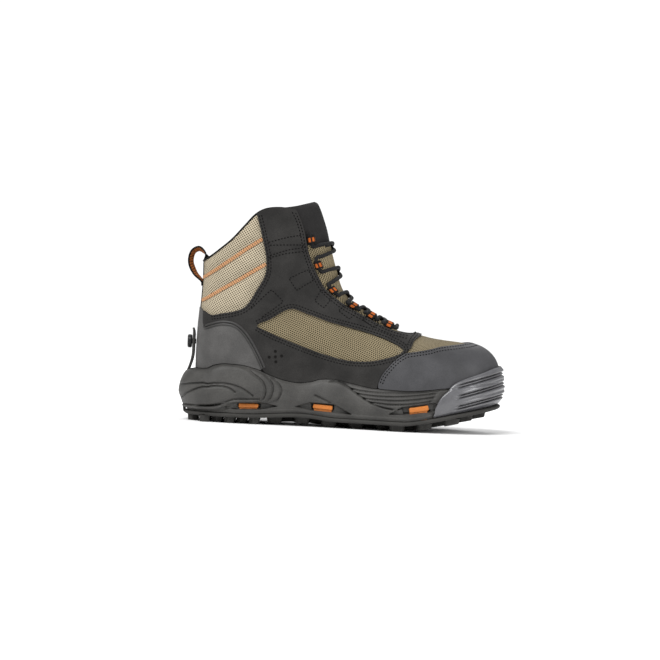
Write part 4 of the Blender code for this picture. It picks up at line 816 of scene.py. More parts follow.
def pressed(x, z):
    """How far the midsole's lines move each point of its side outwards, in metres."""
    points = np.stack([x.ravel(), z.ravel()], axis=1)
    out = np.zeros(len(points))
    step_shows = over_span(points[:, 1] / BOOT_HEIGHT, STEP_GROOVE_STARTS)
    for step in HEEL_STEPS:
        beyond = outline_distance(points, flowing_line(step, 6, True))
        out += STEP_RISE * inside_edge(beyond, STEP_EDGE)
        out -= STEP_GROOVE * step_shows * np.exp(-((beyond - STEP_EDGE) / STEP_EDGE) ** 2)
    for line in PANEL_LINES:
        out -= PANEL_GROOVE * near_line(points, line)
    panel = flowing_line(FOREFOOT_PANEL, 6, True)
    out -= PANEL_SINK * inside_edge(outline_distance(points, panel), STEP_EDGE)
    stitched = 1.0 + RIB_STITCH_SHARE * (np.cos(2 * math.pi * points[:, 0] / RIB_STITCH) - 1.0)
    for line in RIB_LINES:
        out -= RIB_GROOVE * near_line(points, line) * stitched
    for slot, flare in zip(SLOTS, FLARES):
        out -= FLARE_DEPTH * inside_edge(outline_distance(points, spots_to_metres(flare)), FLARE_EDGE)
        out -= SLOT_DEPTH * inside_edge(outline_distance(points, spots_to_metres(slot)), SLOT_EDGE, 0.6)
    return out.reshape(x.shape)


print("pressed lines:", len(PANEL_LINES) + len(RIB_LINES), "steps:", len(HEEL_STEPS), "slots:", len(SLOTS))

# %% [markdown]
# The grid of the midsole runs along the outline one way and up the wall the other. Each column also goes
# on over the rim, down inside the cup and across under the foot, so the piece is one closed body.

# %% The midsole
MIDSOLE_COLUMNS = (150, 220, 110)
MIDSOLE_ROWS = 78
RELIEF_STARTS = 0.02
RELIEF_FADE = 0.04


def midsole_insets(climb, share, out=0.0):
    """The midsole's three insets at a share of its height, moved out by a relief."""
    beside = side_level(climb)
    under_bumper = over_span(share, BUMPER_TAKES_OVER)
    side = SIDE_CUP * (beside + (toe_level(climb) - beside) * under_bumper)
    return heel_level(climb) * HEEL_CUP - out, side - out, toe_level(climb) * TOE_CUP - out


def midsole_points(share, climb, out=0.0):
    """Points on the midsole's side: place, half width and height."""
    x, half = inset_outline(share, *midsole_insets(climb, share, out))
    return x, half, base_height(x) + climb * (rim_height(x) - base_height(x))


def both_sides(name, columns, uv=None, face_out=True):
    """A mesh from columns of (place, half width, height), mirrored over the boot's curved middle."""
    meshes = []
    for side in (LATERAL, MEDIAL):
        placed = columns.copy()
        placed[..., 1] = plan_middle(columns[..., 0]) + side * columns[..., 1]
        meshes.append(grid_mesh(name, placed, flip=side == MEDIAL, uv=uv))
    return mended(joined(name, meshes), 1e-5, face_out=face_out)


def on_middle(column):
    """A column of points moved to the boot's middle, which closes a form there."""
    return column * (1.0, 0.0, 1.0)


def make_midsole():
    share = even_shares(MIDSOLE_COLUMNS)[:, None]
    climb = np.linspace(0.0, 1.0, MIDSOLE_ROWS)[None, :]
    x, _, z = midsole_points(share, climb)
    shows = smoothstep((climb - RELIEF_STARTS) / RELIEF_FADE) * smoothstep((1.0 - climb) / RELIEF_FADE)
    relief = pressed(x, z) * shows
    wall = np.stack(midsole_points(share, climb, relief), axis=2)
    x, half = inset_outline(share, HEEL_CUP, SIDE_CUP, TOE_CUP)
    rim, bed = [np.stack([x, half, height(x)], axis=2) for height in (rim_height, floor_height)]
    columns = np.concatenate([on_middle(wall[:, :1]), wall, rim, bed, on_middle(bed)], axis=1)
    mesh = both_sides("midsole_wall", columns)
    return finish_piece(mesh, "midsole_wall", [MIDSOLE_FOAM], "midsole")


midsole_wall = make_midsole()
print("midsole faces:", len(midsole_wall.data.polygons))

# %% [markdown]
# The orange tabs stand up from the sole into the slots. They are thick plastic straps with rounded edges,
# so a box with a bevel is the honest shape. The last one sits tilted, as its slot does.

# %% Clip tabs
# Each tab's name, its middle's place along and up, its height in metres and its tilt in radians
CLIP_TABS = (
    ("heel", 0.209, 0.083, 0.0040, 0.02), ("arch", 0.436, 0.0915, 0.0046, -0.06),
    ("ball", 0.7335, 0.1055, 0.0050, 0.19),
)
CLIP_LENGTH = 0.0195
CLIP_WALL = 0.0026
CLIP_INSET = 0.0024


def side_place(along, side):
    """Place and heading of a spot on the sole's side: X along it, Y inwards."""
    near = (along * BOOT_LENGTH - 0.001, along * BOOT_LENGTH + 0.001)
    ends = [Vector((x, plan_middle(x) + side * plan_half(x), 0.0)) for x in near]
    heading = (ends[1] - ends[0]).normalized()
    inwards = Vector((0.0, 0.0, 1.0)).cross(heading) * -side
    place = Matrix((heading, inwards, (0.0, 0.0, 1.0))).transposed().to_4x4()
    place.translation = (ends[0] + ends[1]) / 2
    return place


def rounded_box(name, length, depth, height, edge, segments=3):
    """A box with rounded edges, centred on the origin."""
    shape = bmesh.new()
    bmesh.ops.create_cube(shape, size=1.0)
    shape.transform(Matrix.Diagonal((length, depth, height, 1.0)))
    bmesh.ops.bevel(shape, geom=shape.edges[:], offset=edge, segments=segments, affect="EDGES", profile=0.5)
    shape.loops.layers.uv.new("cloth")
    mesh = bpy.data.meshes.new(name)
    shape.to_mesh(mesh)
    shape.free()
    return mesh


for name, along, up, height, tilt in CLIP_TABS:
    for side, word in ((LATERAL, "lateral"), (MEDIAL, "medial")):
        foot = base_height(along * BOOT_LENGTH) + SEAT_GAP
        top = up * BOOT_HEIGHT + height / 2
        stem = rounded_box("stem", CLIP_LENGTH * 0.9, CLIP_WALL * 0.6, top - foot - 0.001, 0.0005, 2)
        stem.transform(Matrix.Translation((0.0, CLIP_INSET + CLIP_WALL, (top + foot) / 2 - 0.0005)))
        tab = rounded_box("tab", CLIP_LENGTH, CLIP_WALL, height, 0.0011)
        tab.transform(Matrix.Rotation(-tilt, 4, "Y"))
        tab.transform(Matrix.Translation((0.0, CLIP_INSET + CLIP_WALL / 2, up * BOOT_HEIGHT)))
        mesh = joined("tab", [stem, tab])
        mesh.transform(side_place(along, side))
        if side == MEDIAL:
            mesh.flip_normals()
        which = f"{word}_{name}"
        finish_piece(mesh, f"clip_tab_{which}", [ORANGE_PLASTIC], f"sole_clip_{which}")
print("clip tabs:", 2 * len(CLIP_TABS))

# %% [markdown]
# ## Round the toe: the bumper
#
# A rubber bumper is moulded round the toe, three bands high, with a double groove between bands. Each slice
# of it starts from the wall it leans on, the midsole below and the toe cap above, and swells outwards.
# The grooves are given as heights along the boot, so they climb towards the toe and meet in front.

# %% The toe bumper
BUMPER_WALL = 0.003
BUMPER_STAND = 0.0024
BUMPER_LEAN = 0.07
BUMPER_TIP = 0.35
BUMPER_THICKENS = Span(0.776, 0.826)
# The bumper's top edge as (along, up), and its thickness at each share of its height
BUMPER_TOP_ROWS = (
    (0.776, 0.112), (0.790, 0.160), (0.813, 0.197), (0.834, 0.226), (0.865, 0.248), (0.916, 0.275),
    (0.965, 0.302), (1.000, 0.309),
)
BUMPER_SWELL = (
    (0.00, 0.20), (0.04, 0.60), (0.12, 0.88), (0.24, 1.02), (0.50, 1.10), (0.80, 1.00), (0.92, 0.88),
    (0.97, 0.66), (1.00, 0.30),
)
GROOVE_ROWS = (
    ((0.848, 0.205), (0.866, 0.216), (0.890, 0.227), (0.989, 0.272), (1.000, 0.274)),
    ((0.850, 0.163), (0.867, 0.170), (0.892, 0.181), (0.994, 0.228), (1.000, 0.230)),
    ((0.830, 0.108), (0.848, 0.114), (0.878, 0.126), (0.994, 0.176), (1.000, 0.178)),
)
GROOVE_START = Span(0.845, 0.874)
GROOVE_GAP = 0.0027
GROOVE_WIDTH = 0.0007
GROOVE_DEPTH = 0.0017
GROOVE_LIP = 0.0009
LIP_SHIFT = 1.25
LIP_WIDTH = GROOVE_GAP / 1.6
CAP_BLEND = Span(-0.002, 0.001)
BUMPER_SLICES = 110
BUMPER_STEPS = 150
WALL_STEPS = 41
INNER_EVERY = 8

bumper_top = monotone_curve(metres(BUMPER_TOP_ROWS, BOOT_HEIGHT))
bumper_swell = monotone_curve(BUMPER_SWELL)


def outline_normal(share):
    """Outward direction of the sole's outline at a share along it, as (along, across)."""
    if share >= 1.0:
        return np.array([1.0, 0.0])
    x = share * BOOT_LENGTH
    slope = (plan_half(x + 0.0005) - plan_half(x - 0.0005)) / 0.001
    normal = np.array([-slope, 1.0])
    return normal / np.linalg.norm(normal)


def bumper_slice(share, side):
    """A slice through the bumper: down its inner face, then up its outer face."""
    x = share * (BOOT_LENGTH - TOE_CUP)
    low = base_height(x) + SEAT_GAP
    top = max(bumper_top(x), low + 0.002)
    outwards = outline_normal(share)
    climb = np.linspace(0.0, 1.0, WALL_STEPS)
    wall = np.stack(midsole_points(np.full_like(climb, share), climb), axis=1)
    wall[:, :2] += outwards * CURVE_GAP * (2.0 - over_span(share, BUMPER_THICKENS))
    heights = low + (top - low) * np.linspace(0.0, 1.0, BUMPER_STEPS)
    inset = BUMPER_STAND - np.maximum(heights - wall[-1, 2], 0.0) * BUMPER_LEAN
    cap_x = share * (BOOT_LENGTH - TOE_CUP + inset)
    cap_half = plan_half(cap_x, 0.0, SIDE_CUP - inset, TOE_CUP - inset) if share < 1.0 else 0.0 * cap_x
    on_cap = over_span(heights - wall[-1, 2], CAP_BLEND)
    inner_x = np.interp(heights, wall[:, 2], wall[:, 0]) * (1.0 - on_cap) + cap_x * on_cap
    inner_y = np.interp(heights, wall[:, 2], wall[:, 1]) * (1.0 - on_cap) + cap_half * on_cap
    taper = BUMPER_TIP + (1.0 - BUMPER_TIP) * over_span(share, BUMPER_THICKENS)
    thick = BUMPER_WALL * taper * bumper_swell(np.linspace(0.0, 1.0, BUMPER_STEPS))
    for rows in GROOVE_ROWS:
        middle = np.interp(x / (BOOT_LENGTH - TOE_CUP), [row[0] for row in rows], [row[1] for row in rows])
        begun = over_span(share, GROOVE_START)
        above = heights - middle * BOOT_HEIGHT
        for shift in (-GROOVE_GAP / 2, GROOVE_GAP / 2):
            thick = thick - GROOVE_DEPTH * begun * np.exp(-((above - shift) / GROOVE_WIDTH) ** 2)
        for shift in (-GROOVE_GAP * LIP_SHIFT, GROOVE_GAP * LIP_SHIFT):
            thick = thick + GROOVE_LIP * begun * np.exp(-((above - shift) / LIP_WIDTH) ** 2)
    outer = np.stack([inner_x + outwards[0] * thick, inner_y + outwards[1] * thick, heights], axis=1)
    inner = np.stack([inner_x, inner_y, heights], axis=1)[::INNER_EVERY][::-1]
    points = np.vstack([inner, outer, inner[:1]])
    points[:, 1] = plan_middle(points[:, 0]) + side * points[:, 1]
    return points


def make_bumper():
    start = BUMPER_TOP_ROWS[0][0] * BOOT_LENGTH / (BOOT_LENGTH - TOE_CUP)
    shares = even_shares((BUMPER_SLICES,), (start, 1.0))
    slices = [bumper_slice(share, LATERAL) for share in shares]
    slices += [bumper_slice(share, MEDIAL) for share in shares[-2::-1]]
    mesh = mended(grid_mesh("toe_bumper_rubber", np.array(slices)), 1e-7, fill=True)
    return finish_piece(mesh, "toe_bumper_rubber", [BUMPER_RUBBER], "toe_bumper", 50.0)


bumper = make_bumper()
print("bumper faces:", len(bumper.data.polygons))

# %% [markdown]
# ## The sole
#
# The sole is a rubber plate with lugs. Those under the forefoot are flowers of four round lobes with a
# recess in the middle, so they bite in every direction, and smaller ones crowd under the heel. A tongue of
# the same rubber runs up behind the heel and hooks over a button there.

# %% The outsole
SOLE_INSET = 0.002
LUG_RADIUS = 0.0078
LUG_LOBE = 0.10
LUG_PITCH_ALONG = 0.027
LUG_PITCH_ACROSS = 0.0202
BIG_LUGS = Span(0.290, 0.955)
HEEL_LUG_RADIUS = 0.0048
HEEL_LUG_STEP = Spot(0.01224, 0.0136)
HEEL_LUG_STAGGER = 0.5
PLATE_COLUMNS = (60, 90, 60)
PLATE_ROWS = (
    (0.00, 1.25), (0.08, 0.75), (0.25, 0.35), (0.50, 0.25), (0.75, 0.35), (0.90, 0.70), (1.00, 1.30),
)
# A lug's outline from its root to the recess in its face: shares of its radius and of its height
BIG_LUG_STEPS = (
    (1.14, 1.10), (1.06, 0.90), (1.03, 0.50), (1.00, 0.12), (0.96, 0.0), (0.46, 0.0), (0.42, 0.05),
    (0.36, 0.32), (0.0, 0.32),
)
SMALL_LUG_STEPS = ((1.16, 1.10), (1.06, 0.90), (1.02, 0.50), (0.98, 0.12), (0.90, 0.0), (0.0, 0.0))
plate_inset = monotone_curve(PLATE_ROWS)


def sole_plate():
    """The plate as a closed body, its edge rounded like a moulding's."""
    share = even_shares(PLATE_COLUMNS)[:, None]
    drop = np.linspace(1.0, 0.0, 13)[None, :]
    inset = SOLE_INSET * plate_inset(drop)
    x, half = inset_outline(share, inset + SOLE_INSET, inset + 0.6 * SOLE_INSET, inset + 1.4 * SOLE_INSET)
    edge = np.stack([x, half, base_height(x) - SEAT_GAP - drop * (SOLE_PLATE - SEAT_GAP)], axis=2)
    columns = np.concatenate([on_middle(edge[:, :1]), edge, on_middle(edge[:, -1:])], axis=1)
    return both_sides("plate", columns)


def lug(x, y, radius, steps, lobes, count):
    """One rubber lug, standing on its face below the plate."""
    angles = np.linspace(0.0, 2 * math.pi, count, endpoint=False)
    reach = radius * (1.0 + LUG_LOBE * np.cos(lobes * (angles - math.pi / 4)))
    grid = np.zeros((count, len(steps), 3))
    floor = sole_rise(x)
    for column, (out, climb) in enumerate(steps):
        along = x + reach * out * np.cos(angles)
        height = floor + climb * LUG_HEIGHT + (sole_rise(along) - floor) * (climb < 0.5)
        grid[:, column] = np.stack([along, y + reach * out * np.sin(angles), height], axis=1)
    return grid_mesh("lug", grid, closed=True)


def all_lugs():
    """Flowers in staggered columns under the foot, and small blocks packed under the heel."""
    lugs = []
    columns = np.arange(BIG_LUGS.start * BOOT_LENGTH, BIG_LUGS.end * BOOT_LENGTH, LUG_PITCH_ALONG / 2)
    for column, x in enumerate(columns):
        reach = plan_half(x, SOLE_INSET, SOLE_INSET, SOLE_INSET) - LUG_RADIUS
        for k in range(-2, 3):
            y = (2 * k + (column + 1) % 2) * LUG_PITCH_ACROSS
            if abs(y) < reach:
                lugs.append(lug(x, plan_middle(x) + y, LUG_RADIUS, BIG_LUG_STEPS, 4, 48))
    for i in range(-2, 4):
        x = HEEL_SEAT + i * HEEL_LUG_STEP.along
        reach = plan_half(x, SOLE_INSET, SOLE_INSET, SOLE_INSET) - HEEL_LUG_RADIUS
        for k in range(-4, 5):
            y = (k + (HEEL_LUG_STAGGER if i % 2 else 0.0)) * HEEL_LUG_STEP.up
            if abs(y) < reach:
                lugs.append(lug(x, y, HEEL_LUG_RADIUS, SMALL_LUG_STEPS, 5, 30))
    return lugs


LUGS = all_lugs()
print("lugs:", len(LUGS))

# %% [markdown]
# The strap behind the heel is thin from the side and swells into a head with a slot for the button. Its tip
# is cut like a chisel and ribbed, so wet fingers can pull it. The slot is cut with a boolean: one body is
# taken out of another, and the result is kept as a plain mesh.

# %% Heel strap and button
BACKWARDS = (-1.0, 0.0, 0.0)
POST_UP = 0.078
POST_STEM = 0.0025
POST_HEAD = 0.0067
POST_WALL = 0.0044
POST_EDGE = 0.0008
POST_BEVEL = 0.0016
POST_DIMPLE = 0.0016
STRAP_WALL = 0.0026
STRAP_NECK = 0.0085
STRAP_HEAD = 0.0155
TIP_UP = 0.0135
TIP_FADE = 0.0085
TIP_RIB = 0.00022
TIP_RIB_PITCH = 0.0016
STRAP_STEPS = 130
# The strap's width at shares of the heel's height, in widths of its neck
STRAP_CLIMBS = (-0.05, 0.08, 0.20, 0.32, 0.42, 0.52, 0.65, 0.78, 0.90)
STRAP_WIDTHS = (1.60, 1.15, 1.00, 1.00, 1.00, 1.00, 1.00, 1.05, 1.25)
OVERLAY_LIFT = 0.00045
OVERLAY_WALL = 0.0012
BACK_ROWS = (
    (0.040, 0.050), (0.040, 0.202), (0.039, 0.300), (0.040, 0.413), (0.043, 0.493), (0.046, 0.578),
    (0.047, 0.650), (0.046, 0.704), (0.048, 0.785), (0.051, 1.040),
)
back_place = monotone_curve([(up * BOOT_HEIGHT, along * BOOT_LENGTH) for along, up in BACK_ROWS])
COUNTER_BACK = back_place(POST_UP) - OVERLAY_LIFT - OVERLAY_WALL
STRAP_SEAT = COUNTER_BACK - 2 * CURVE_GAP - STRAP_WALL / 2


def applied(item, *helpers):
    """The mesh of an object with its modifiers applied. The objects are used up."""
    result = bpy.data.meshes.new_from_object(item.evaluated_get(bpy.context.evaluated_depsgraph_get()))
    for used in (item, *helpers):
        bpy.data.objects.remove(used)
    return result


def carved(mesh, cutter):
    """A mesh cut by another, as a new mesh. Both are used up."""
    body, tool = in_scene("body", mesh), in_scene("tool", cutter)
    step = body.modifiers.new("cut", "BOOLEAN")
    step.operation = "DIFFERENCE"
    step.solver = "EXACT"
    step.object = tool
    return applied(body, tool)


BAND_EDGE = 0.35
BAND_STEPS = 5


def band_outline(width, wall):
    """A flat band's outline with rounded edges, as (side, out) points."""
    radius = wall * BAND_EDGE
    points = []
    for corner_x, corner_y, start in ((1, 1, 0), (-1, 1, 90), (-1, -1, 180), (1, -1, 270)):
        for k in range(BAND_STEPS):
            angle = math.radians(start + 90 * k / (BAND_STEPS - 1))
            points.append((corner_x * (width / 2 - radius) + radius * math.cos(angle),
                           corner_y * (wall / 2 - radius) + radius * math.sin(angle)))
    return np.array(points)


def strap_knots():
    """The strap's middle line as (place, height, width), from the plate up to its tip."""
    base = base_height(0.0)
    rise = rim_height(0.0) - base
    stand = STRAP_WALL / 2 + 2 * SEAT_GAP
    knots = [(HEEL_CUP, base - SOLE_PLATE / 2, 2.2 * STRAP_NECK)]
    for climb, width in zip(STRAP_CLIMBS, STRAP_WIDTHS):
        knots.append((heel_level(climb) * HEEL_CUP - stand, base + climb * rise, width * STRAP_NECK))
    tip = POST_UP + TIP_UP
    for height in (POST_UP - POST_HEAD * 1.5, POST_UP, POST_UP + POST_HEAD):
        knots.append((STRAP_SEAT, height, STRAP_HEAD))
    knots += [(STRAP_SEAT - SEAT_GAP, tip - STRAP_WALL, STRAP_HEAD)]
    knots += [(STRAP_SEAT - STRAP_WALL / 2, tip, STRAP_HEAD * 0.7)]
    return np.array(knots)


def make_strap():
    knots = strap_knots()
    lengths = arc_lengths(knots[:, :2])
    wanted = np.linspace(0.0, lengths[-1], STRAP_STEPS)
    place, height, width = [monotone_curve(list(zip(lengths, knots[:, k])))(wanted) for k in range(3)]
    to_tip = (lengths[-1] - wanted) / TIP_FADE
    ribs = TIP_RIB * (1.0 + np.cos(2 * math.pi * wanted / TIP_RIB_PITCH)) * (to_tip < 1.0)
    wall = STRAP_WALL * (0.45 + 0.55 * np.clip(to_tip, 0.0, 1.0)) + ribs
    outlines = np.array([band_outline(w, t) for w, t in zip(width, wall)])
    path = np.stack([place, np.zeros_like(place), height], axis=1)
    strap = sweep("heel_strap", path, outlines, BACKWARDS)
    clear = POST_STEM + 2 * CURVE_GAP
    through = [(STRAP_SEAT + reach, 0.0, POST_UP) for reach in (-0.006, 0.006)]
    return carved(strap, sweep("slot", through, round_outline(clear, clear + POST_STEM / 2, 24)))


print("strap seat:", round(STRAP_SEAT * 1000, 1), "mm")

# %% [markdown]
# The button is a turned body: its profile goes once round an axis, with a stem for the strap's slot and a
# rounded head that holds it. The plate, the strap and all the lugs are one moulding on the real sole, so
# they are joined into one piece.

# %% Button and the joined sole
def turned(name, profile, count=40):
    """A body turned about X from (place, radius) points."""
    angles = np.linspace(0.0, 2 * math.pi, count, endpoint=False)
    grid = np.array([[(x, r * math.cos(a), r * math.sin(a)) for x, r in profile] for a in angles])
    return mended(grid_mesh(name, grid, closed=True), 1e-7)


def make_post():
    back = COUNTER_BACK - SEAT_GAP
    neck = STRAP_SEAT - STRAP_WALL / 2 - CURVE_GAP
    tip = neck - POST_WALL
    profile = [(back, 0.0), (back, POST_STEM), (neck, POST_STEM), (neck, POST_HEAD - POST_EDGE)]
    profile += [(neck - POST_EDGE * math.sin(a), POST_HEAD - POST_EDGE * math.cos(a))
                for a in np.linspace(0.3, 1.5, 4)]
    profile += [(tip + POST_BEVEL * (1 - math.sin(a)), POST_HEAD - POST_BEVEL * (1 - math.cos(a)))
                for a in np.linspace(0.0, math.pi / 2, 7)]
    profile += [(tip, POST_DIMPLE + 0.0006), (tip + POST_EDGE, POST_DIMPLE), (tip + POST_EDGE, 0.0)]
    mesh = turned("heel_button", profile)
    mesh.transform(Matrix.Translation((0.0, 0.0, POST_UP)))
    finish_piece(mesh, "heel_button", [POST_PLASTIC], "heel_post")


outsole = joined("outsole_rubber", [sole_plate(), make_strap()] + LUGS)
finish_piece(outsole, "outsole_rubber", [SOLE_RUBBER], "outsole")
make_post()
print("outsole faces:", len(outsole.polygons))

# %% [markdown]
# ## The upper
#
# The upper is drawn like a shoe pattern wrapped over a last. Its top edge is known from the side: the
# collar's rise at the back, the throat where the laces go, and the toe's ridge. Its foot stands in the
# midsole's cup. Columns join one to the other, and a width for every place and height closes the form.
# It is a real wall, 2.5 mm thick and open at the collar, so the inside of the boot can be seen.

# %% The upper's form
UPPER_WALL = 0.0025
SHAFT_FRONT_ROUND = 0.058
SHAFT_LEAN = 0.55
SHAFT_RISE = 0.31
RIDGE_END = 0.93 * BOOT_LENGTH
UPPER_HEEL = HEEL_CUP + SEAT_GAP
UPPER_SIDE = SIDE_CUP + SEAT_GAP
SHAFT_FADE = Span(0.42, 0.72)
HEEL_PULL = Span(0.00, 0.45)
TOE_PULL = Span(0.72, 1.00)
LEAN_START = Spot(0.129, 0.18)
UPPER_COLUMNS = (48, 64, 48)
UPPER_ROWS = 84
SHAFT_ROWS = (
    (0.20, 0.68), (0.33, 0.66), (0.45, 0.64), (0.58, 0.655), (0.72, 0.71), (0.86, 0.755), (1.03, 0.78),
)
FRONT_ROWS = (
    (0.381, 1.040), (0.393, 1.000), (0.409, 0.960), (0.429, 0.892), (0.445, 0.807), (0.457, 0.749),
    (0.467, 0.704), (0.477, 0.659), (0.490, 0.617), (0.507, 0.585), (0.533, 0.557), (0.568, 0.526),
    (0.614, 0.492), (0.661, 0.462), (0.708, 0.437), (0.757, 0.419), (0.804, 0.410), (0.851, 0.404),
    (0.891, 0.396), (0.922, 0.382), (0.947, 0.359), (0.964, 0.331), (0.974, 0.298), (0.9772, 0.262),
    (0.9775, 0.150),
)
COLLAR_ROWS = (
    (0.046, 0.715), (0.067, 0.733), (0.098, 0.769), (0.134, 0.816), (0.170, 0.877), (0.205, 0.934),
    (0.232, 0.956), (0.275, 0.965), (0.322, 0.959),
)
THROAT_ROWS = (
    (0.322, 0.959), (0.337, 0.919), (0.350, 0.870), (0.367, 0.771), (0.380, 0.722), (0.400, 0.667),
    (0.424, 0.614), (0.461, 0.570), (0.496, 0.537), (0.549, 0.499), (0.599, 0.464), (0.645, 0.440),
    (0.689, 0.427), (0.722, 0.431),
)
FRONT_LINE = flowing_line(FRONT_ROWS)
THROAT_END = THROAT_ROWS[-1][0] * BOOT_LENGTH
shaft_width = monotone_curve([(up * BOOT_HEIGHT, half * BALL_WIDTH / 2) for up, half in SHAFT_ROWS])


def ridge_height(x):
    """Height of the boot's front and top line above a place along it."""
    return np.interp(x, FRONT_LINE[:, 0], FRONT_LINE[:, 1])


def front_place(z):
    """Place of the boot's front and top line at a height."""
    return np.interp(z, FRONT_LINE[::-1, 1], FRONT_LINE[::-1, 0])


def upper_half_width(x, z):
    """Half the width of the upper's outer face, seen from the side at x and z."""
    rim = rim_height(x)
    above = z - rim
    to_shaft = smoothstep(above / (SHAFT_RISE * BOOT_HEIGHT))
    to_shaft = to_shaft * (1.0 - over_span(x / BOOT_LENGTH, SHAFT_FADE))
    width = (plan_width(x) - UPPER_SIDE) * (1.0 - to_shaft) + shaft_width(z) * to_shaft
    heel = round_off((x - back_place(z)) / HEEL_ROUND)
    toe = round_off((FRONT_LINE[-1, 0] - x) / TOE_ROUND)
    climb = np.clip(above / np.maximum(ridge_height(x) - rim, 0.001), 0.0, 1.0)
    dome = round_off(1.0 - climb)
    tube = round_off((front_place(z) - x) / SHAFT_FRONT_ROUND, 2.0)
    lean_line = LEAN_START.up * BOOT_HEIGHT + SHAFT_LEAN * (x - LEAN_START.along * BOOT_LENGTH)
    in_shaft = smoothstep((z - lean_line) / (SHAFT_RISE * BOOT_HEIGHT))
    front = dome * toe * (1.0 - in_shaft) + tube * in_shaft
    return np.maximum(width, 0.0) * heel * front


def lifted(side_points):
    """Turn side-view points into (place, half width, height)."""
    x, z = side_points[:, 0], side_points[:, 1]
    return np.stack([x, upper_half_width(x, z), z], axis=1)


def upper_top_edge():
    """Points of the collar, the throat's edge and the ridge of the toe, one for each column."""
    collar = flowing_line(COLLAR_ROWS, 24)
    collar[0, 0] = back_place(collar[0, 1])
    throat = flowing_line(THROAT_ROWS, 24)
    throat[-1, 1] = ridge_height(throat[-1, 0])
    x = np.linspace(THROAT_END, RIDGE_END, 60)
    ridge = np.stack([x, ridge_height(x)], axis=1)
    edge = []
    for line, count in zip((collar, throat, ridge), UPPER_COLUMNS):
        solid = lifted(line)
        if line is ridge:
            solid[:, 1] = 0.0
        points = along_arc(solid, np.linspace(0.0, 1.0, count + 1))
        edge += list(points if not edge else points[1:])
    edge[0][1] = 0.0
    return np.array(edge)


def upper_columns():
    """The upper's outer face as columns of (place, half width, height), from cup to top edge."""
    top = upper_top_edge()
    tip_z = rim_height(FRONT_LINE[-1, 0])
    on_front = FRONT_LINE[(FRONT_LINE[:, 0] > RIDGE_END) & (FRONT_LINE[:, 1] > tip_z)][::-1]
    on_front = np.vstack([[front_place(tip_z), tip_z], on_front, [RIDGE_END, ridge_height(RIDGE_END)]])
    v = 1.0 - (1.0 - np.linspace(0.0, 1.0, 241)) ** 2
    toe_bow = along_arc(on_front, v)
    toe_bow -= on_front[0] + v[:, None] * (on_front[-1] - on_front[0])
    columns = []
    shares = even_shares(UPPER_COLUMNS)
    for j, share in enumerate(shares):
        x0 = UPPER_HEEL + share * (FRONT_LINE[-1, 0] - UPPER_HEEL)
        z0 = rim_height(x0)
        if j == 0:
            x0 = back_place(z0)
        x1, _, z1 = top[j]
        x = x0 + v * (x1 - x0)
        z = z0 + v * (z1 - z0)
        heel_pull = 1.0 - over_span(share, HEEL_PULL)
        x = x + heel_pull * (back_place(z) - (1.0 - v) * back_place(z0) - v * back_place(z1))
        toe_pull = over_span(share, TOE_PULL)
        x = x + toe_pull * toe_bow[:, 0]
        z = z + toe_pull * toe_bow[:, 1]
        half = upper_half_width(x, z)
        if j in (0, len(shares) - 1):
            half = np.zeros_like(half)
        if j >= UPPER_COLUMNS[0] + UPPER_COLUMNS[1]:
            half[-1] = 0.0
        wall = along_arc(np.stack([x, half, z], axis=1), np.linspace(0.0, 1.0, UPPER_ROWS + 1))
        foot = np.array([[x0, half[0], floor_height(x0) + SEAT_GAP]])
        columns.append(np.vstack([foot, wall]))
    return np.array(columns)


COLUMNS = upper_columns()
print("upper columns and rows:", COLUMNS.shape[:2])

# %% [markdown]
# The skin is made once and used four times: as the cloth upper itself, and lifted a little as the three
# synthetic overlays sewn on it. A thickness goes inwards for the cloth and outwards for the overlays.
# Each overlay's sheet is cut exactly along its outline first, as a pattern cutter's knife would.

# %% Skin, thickness and cutting
def read_off(items, what):
    """A 3-D value of every point or face of a mesh, such as its place or its normal."""
    values = np.zeros(len(items) * 3)
    items.foreach_get(what, values)
    return values.reshape(-1, 3)


def moved_out(mesh, lift):
    """Move each point of a mesh along its normal. Lift is a number, or a function of the points."""
    places, normals = read_off(mesh.vertices, "co"), read_off(mesh.vertex_normals, "vector")
    amount = lift(places) if callable(lift) else np.full(len(places), lift)
    mesh.vertices.foreach_set("co", (places + normals * amount[:, None]).reshape(-1))
    mesh.update()
    return mesh


def thickened(mesh, wall, outwards):
    """A sheet made into a wall. The sheet's own faces come first in it."""
    item = in_scene("sheet", mesh)
    step = item.modifiers.new("wall", "SOLIDIFY")
    step.thickness = wall
    step.offset = 1.0 if outwards else -1.0
    step.use_even_offset = True
    step.use_quality_normals = True
    return applied(item)


def upper_skin(columns):
    """The skin on both sides of the boot's curved middle, facing out.

    Its cloth map measures the real way round the heel and over the toes, so the weave isn't stretched there.
    """
    uv = np.stack([columns[..., 0], columns[..., 2]], axis=2)
    along, up = np.diff(columns, axis=0), np.diff(columns, axis=1)
    uv[1:, :, 0] = columns[:1, :, 0] + np.cumsum(np.hypot(along[..., 0], along[..., 1]), axis=0)
    uv[:, 1:, 1] = columns[:, :1, 2] + np.cumsum(np.hypot(up[..., 1], up[..., 2]), axis=1)
    return both_sides("skin", columns, uv, face_out=False)


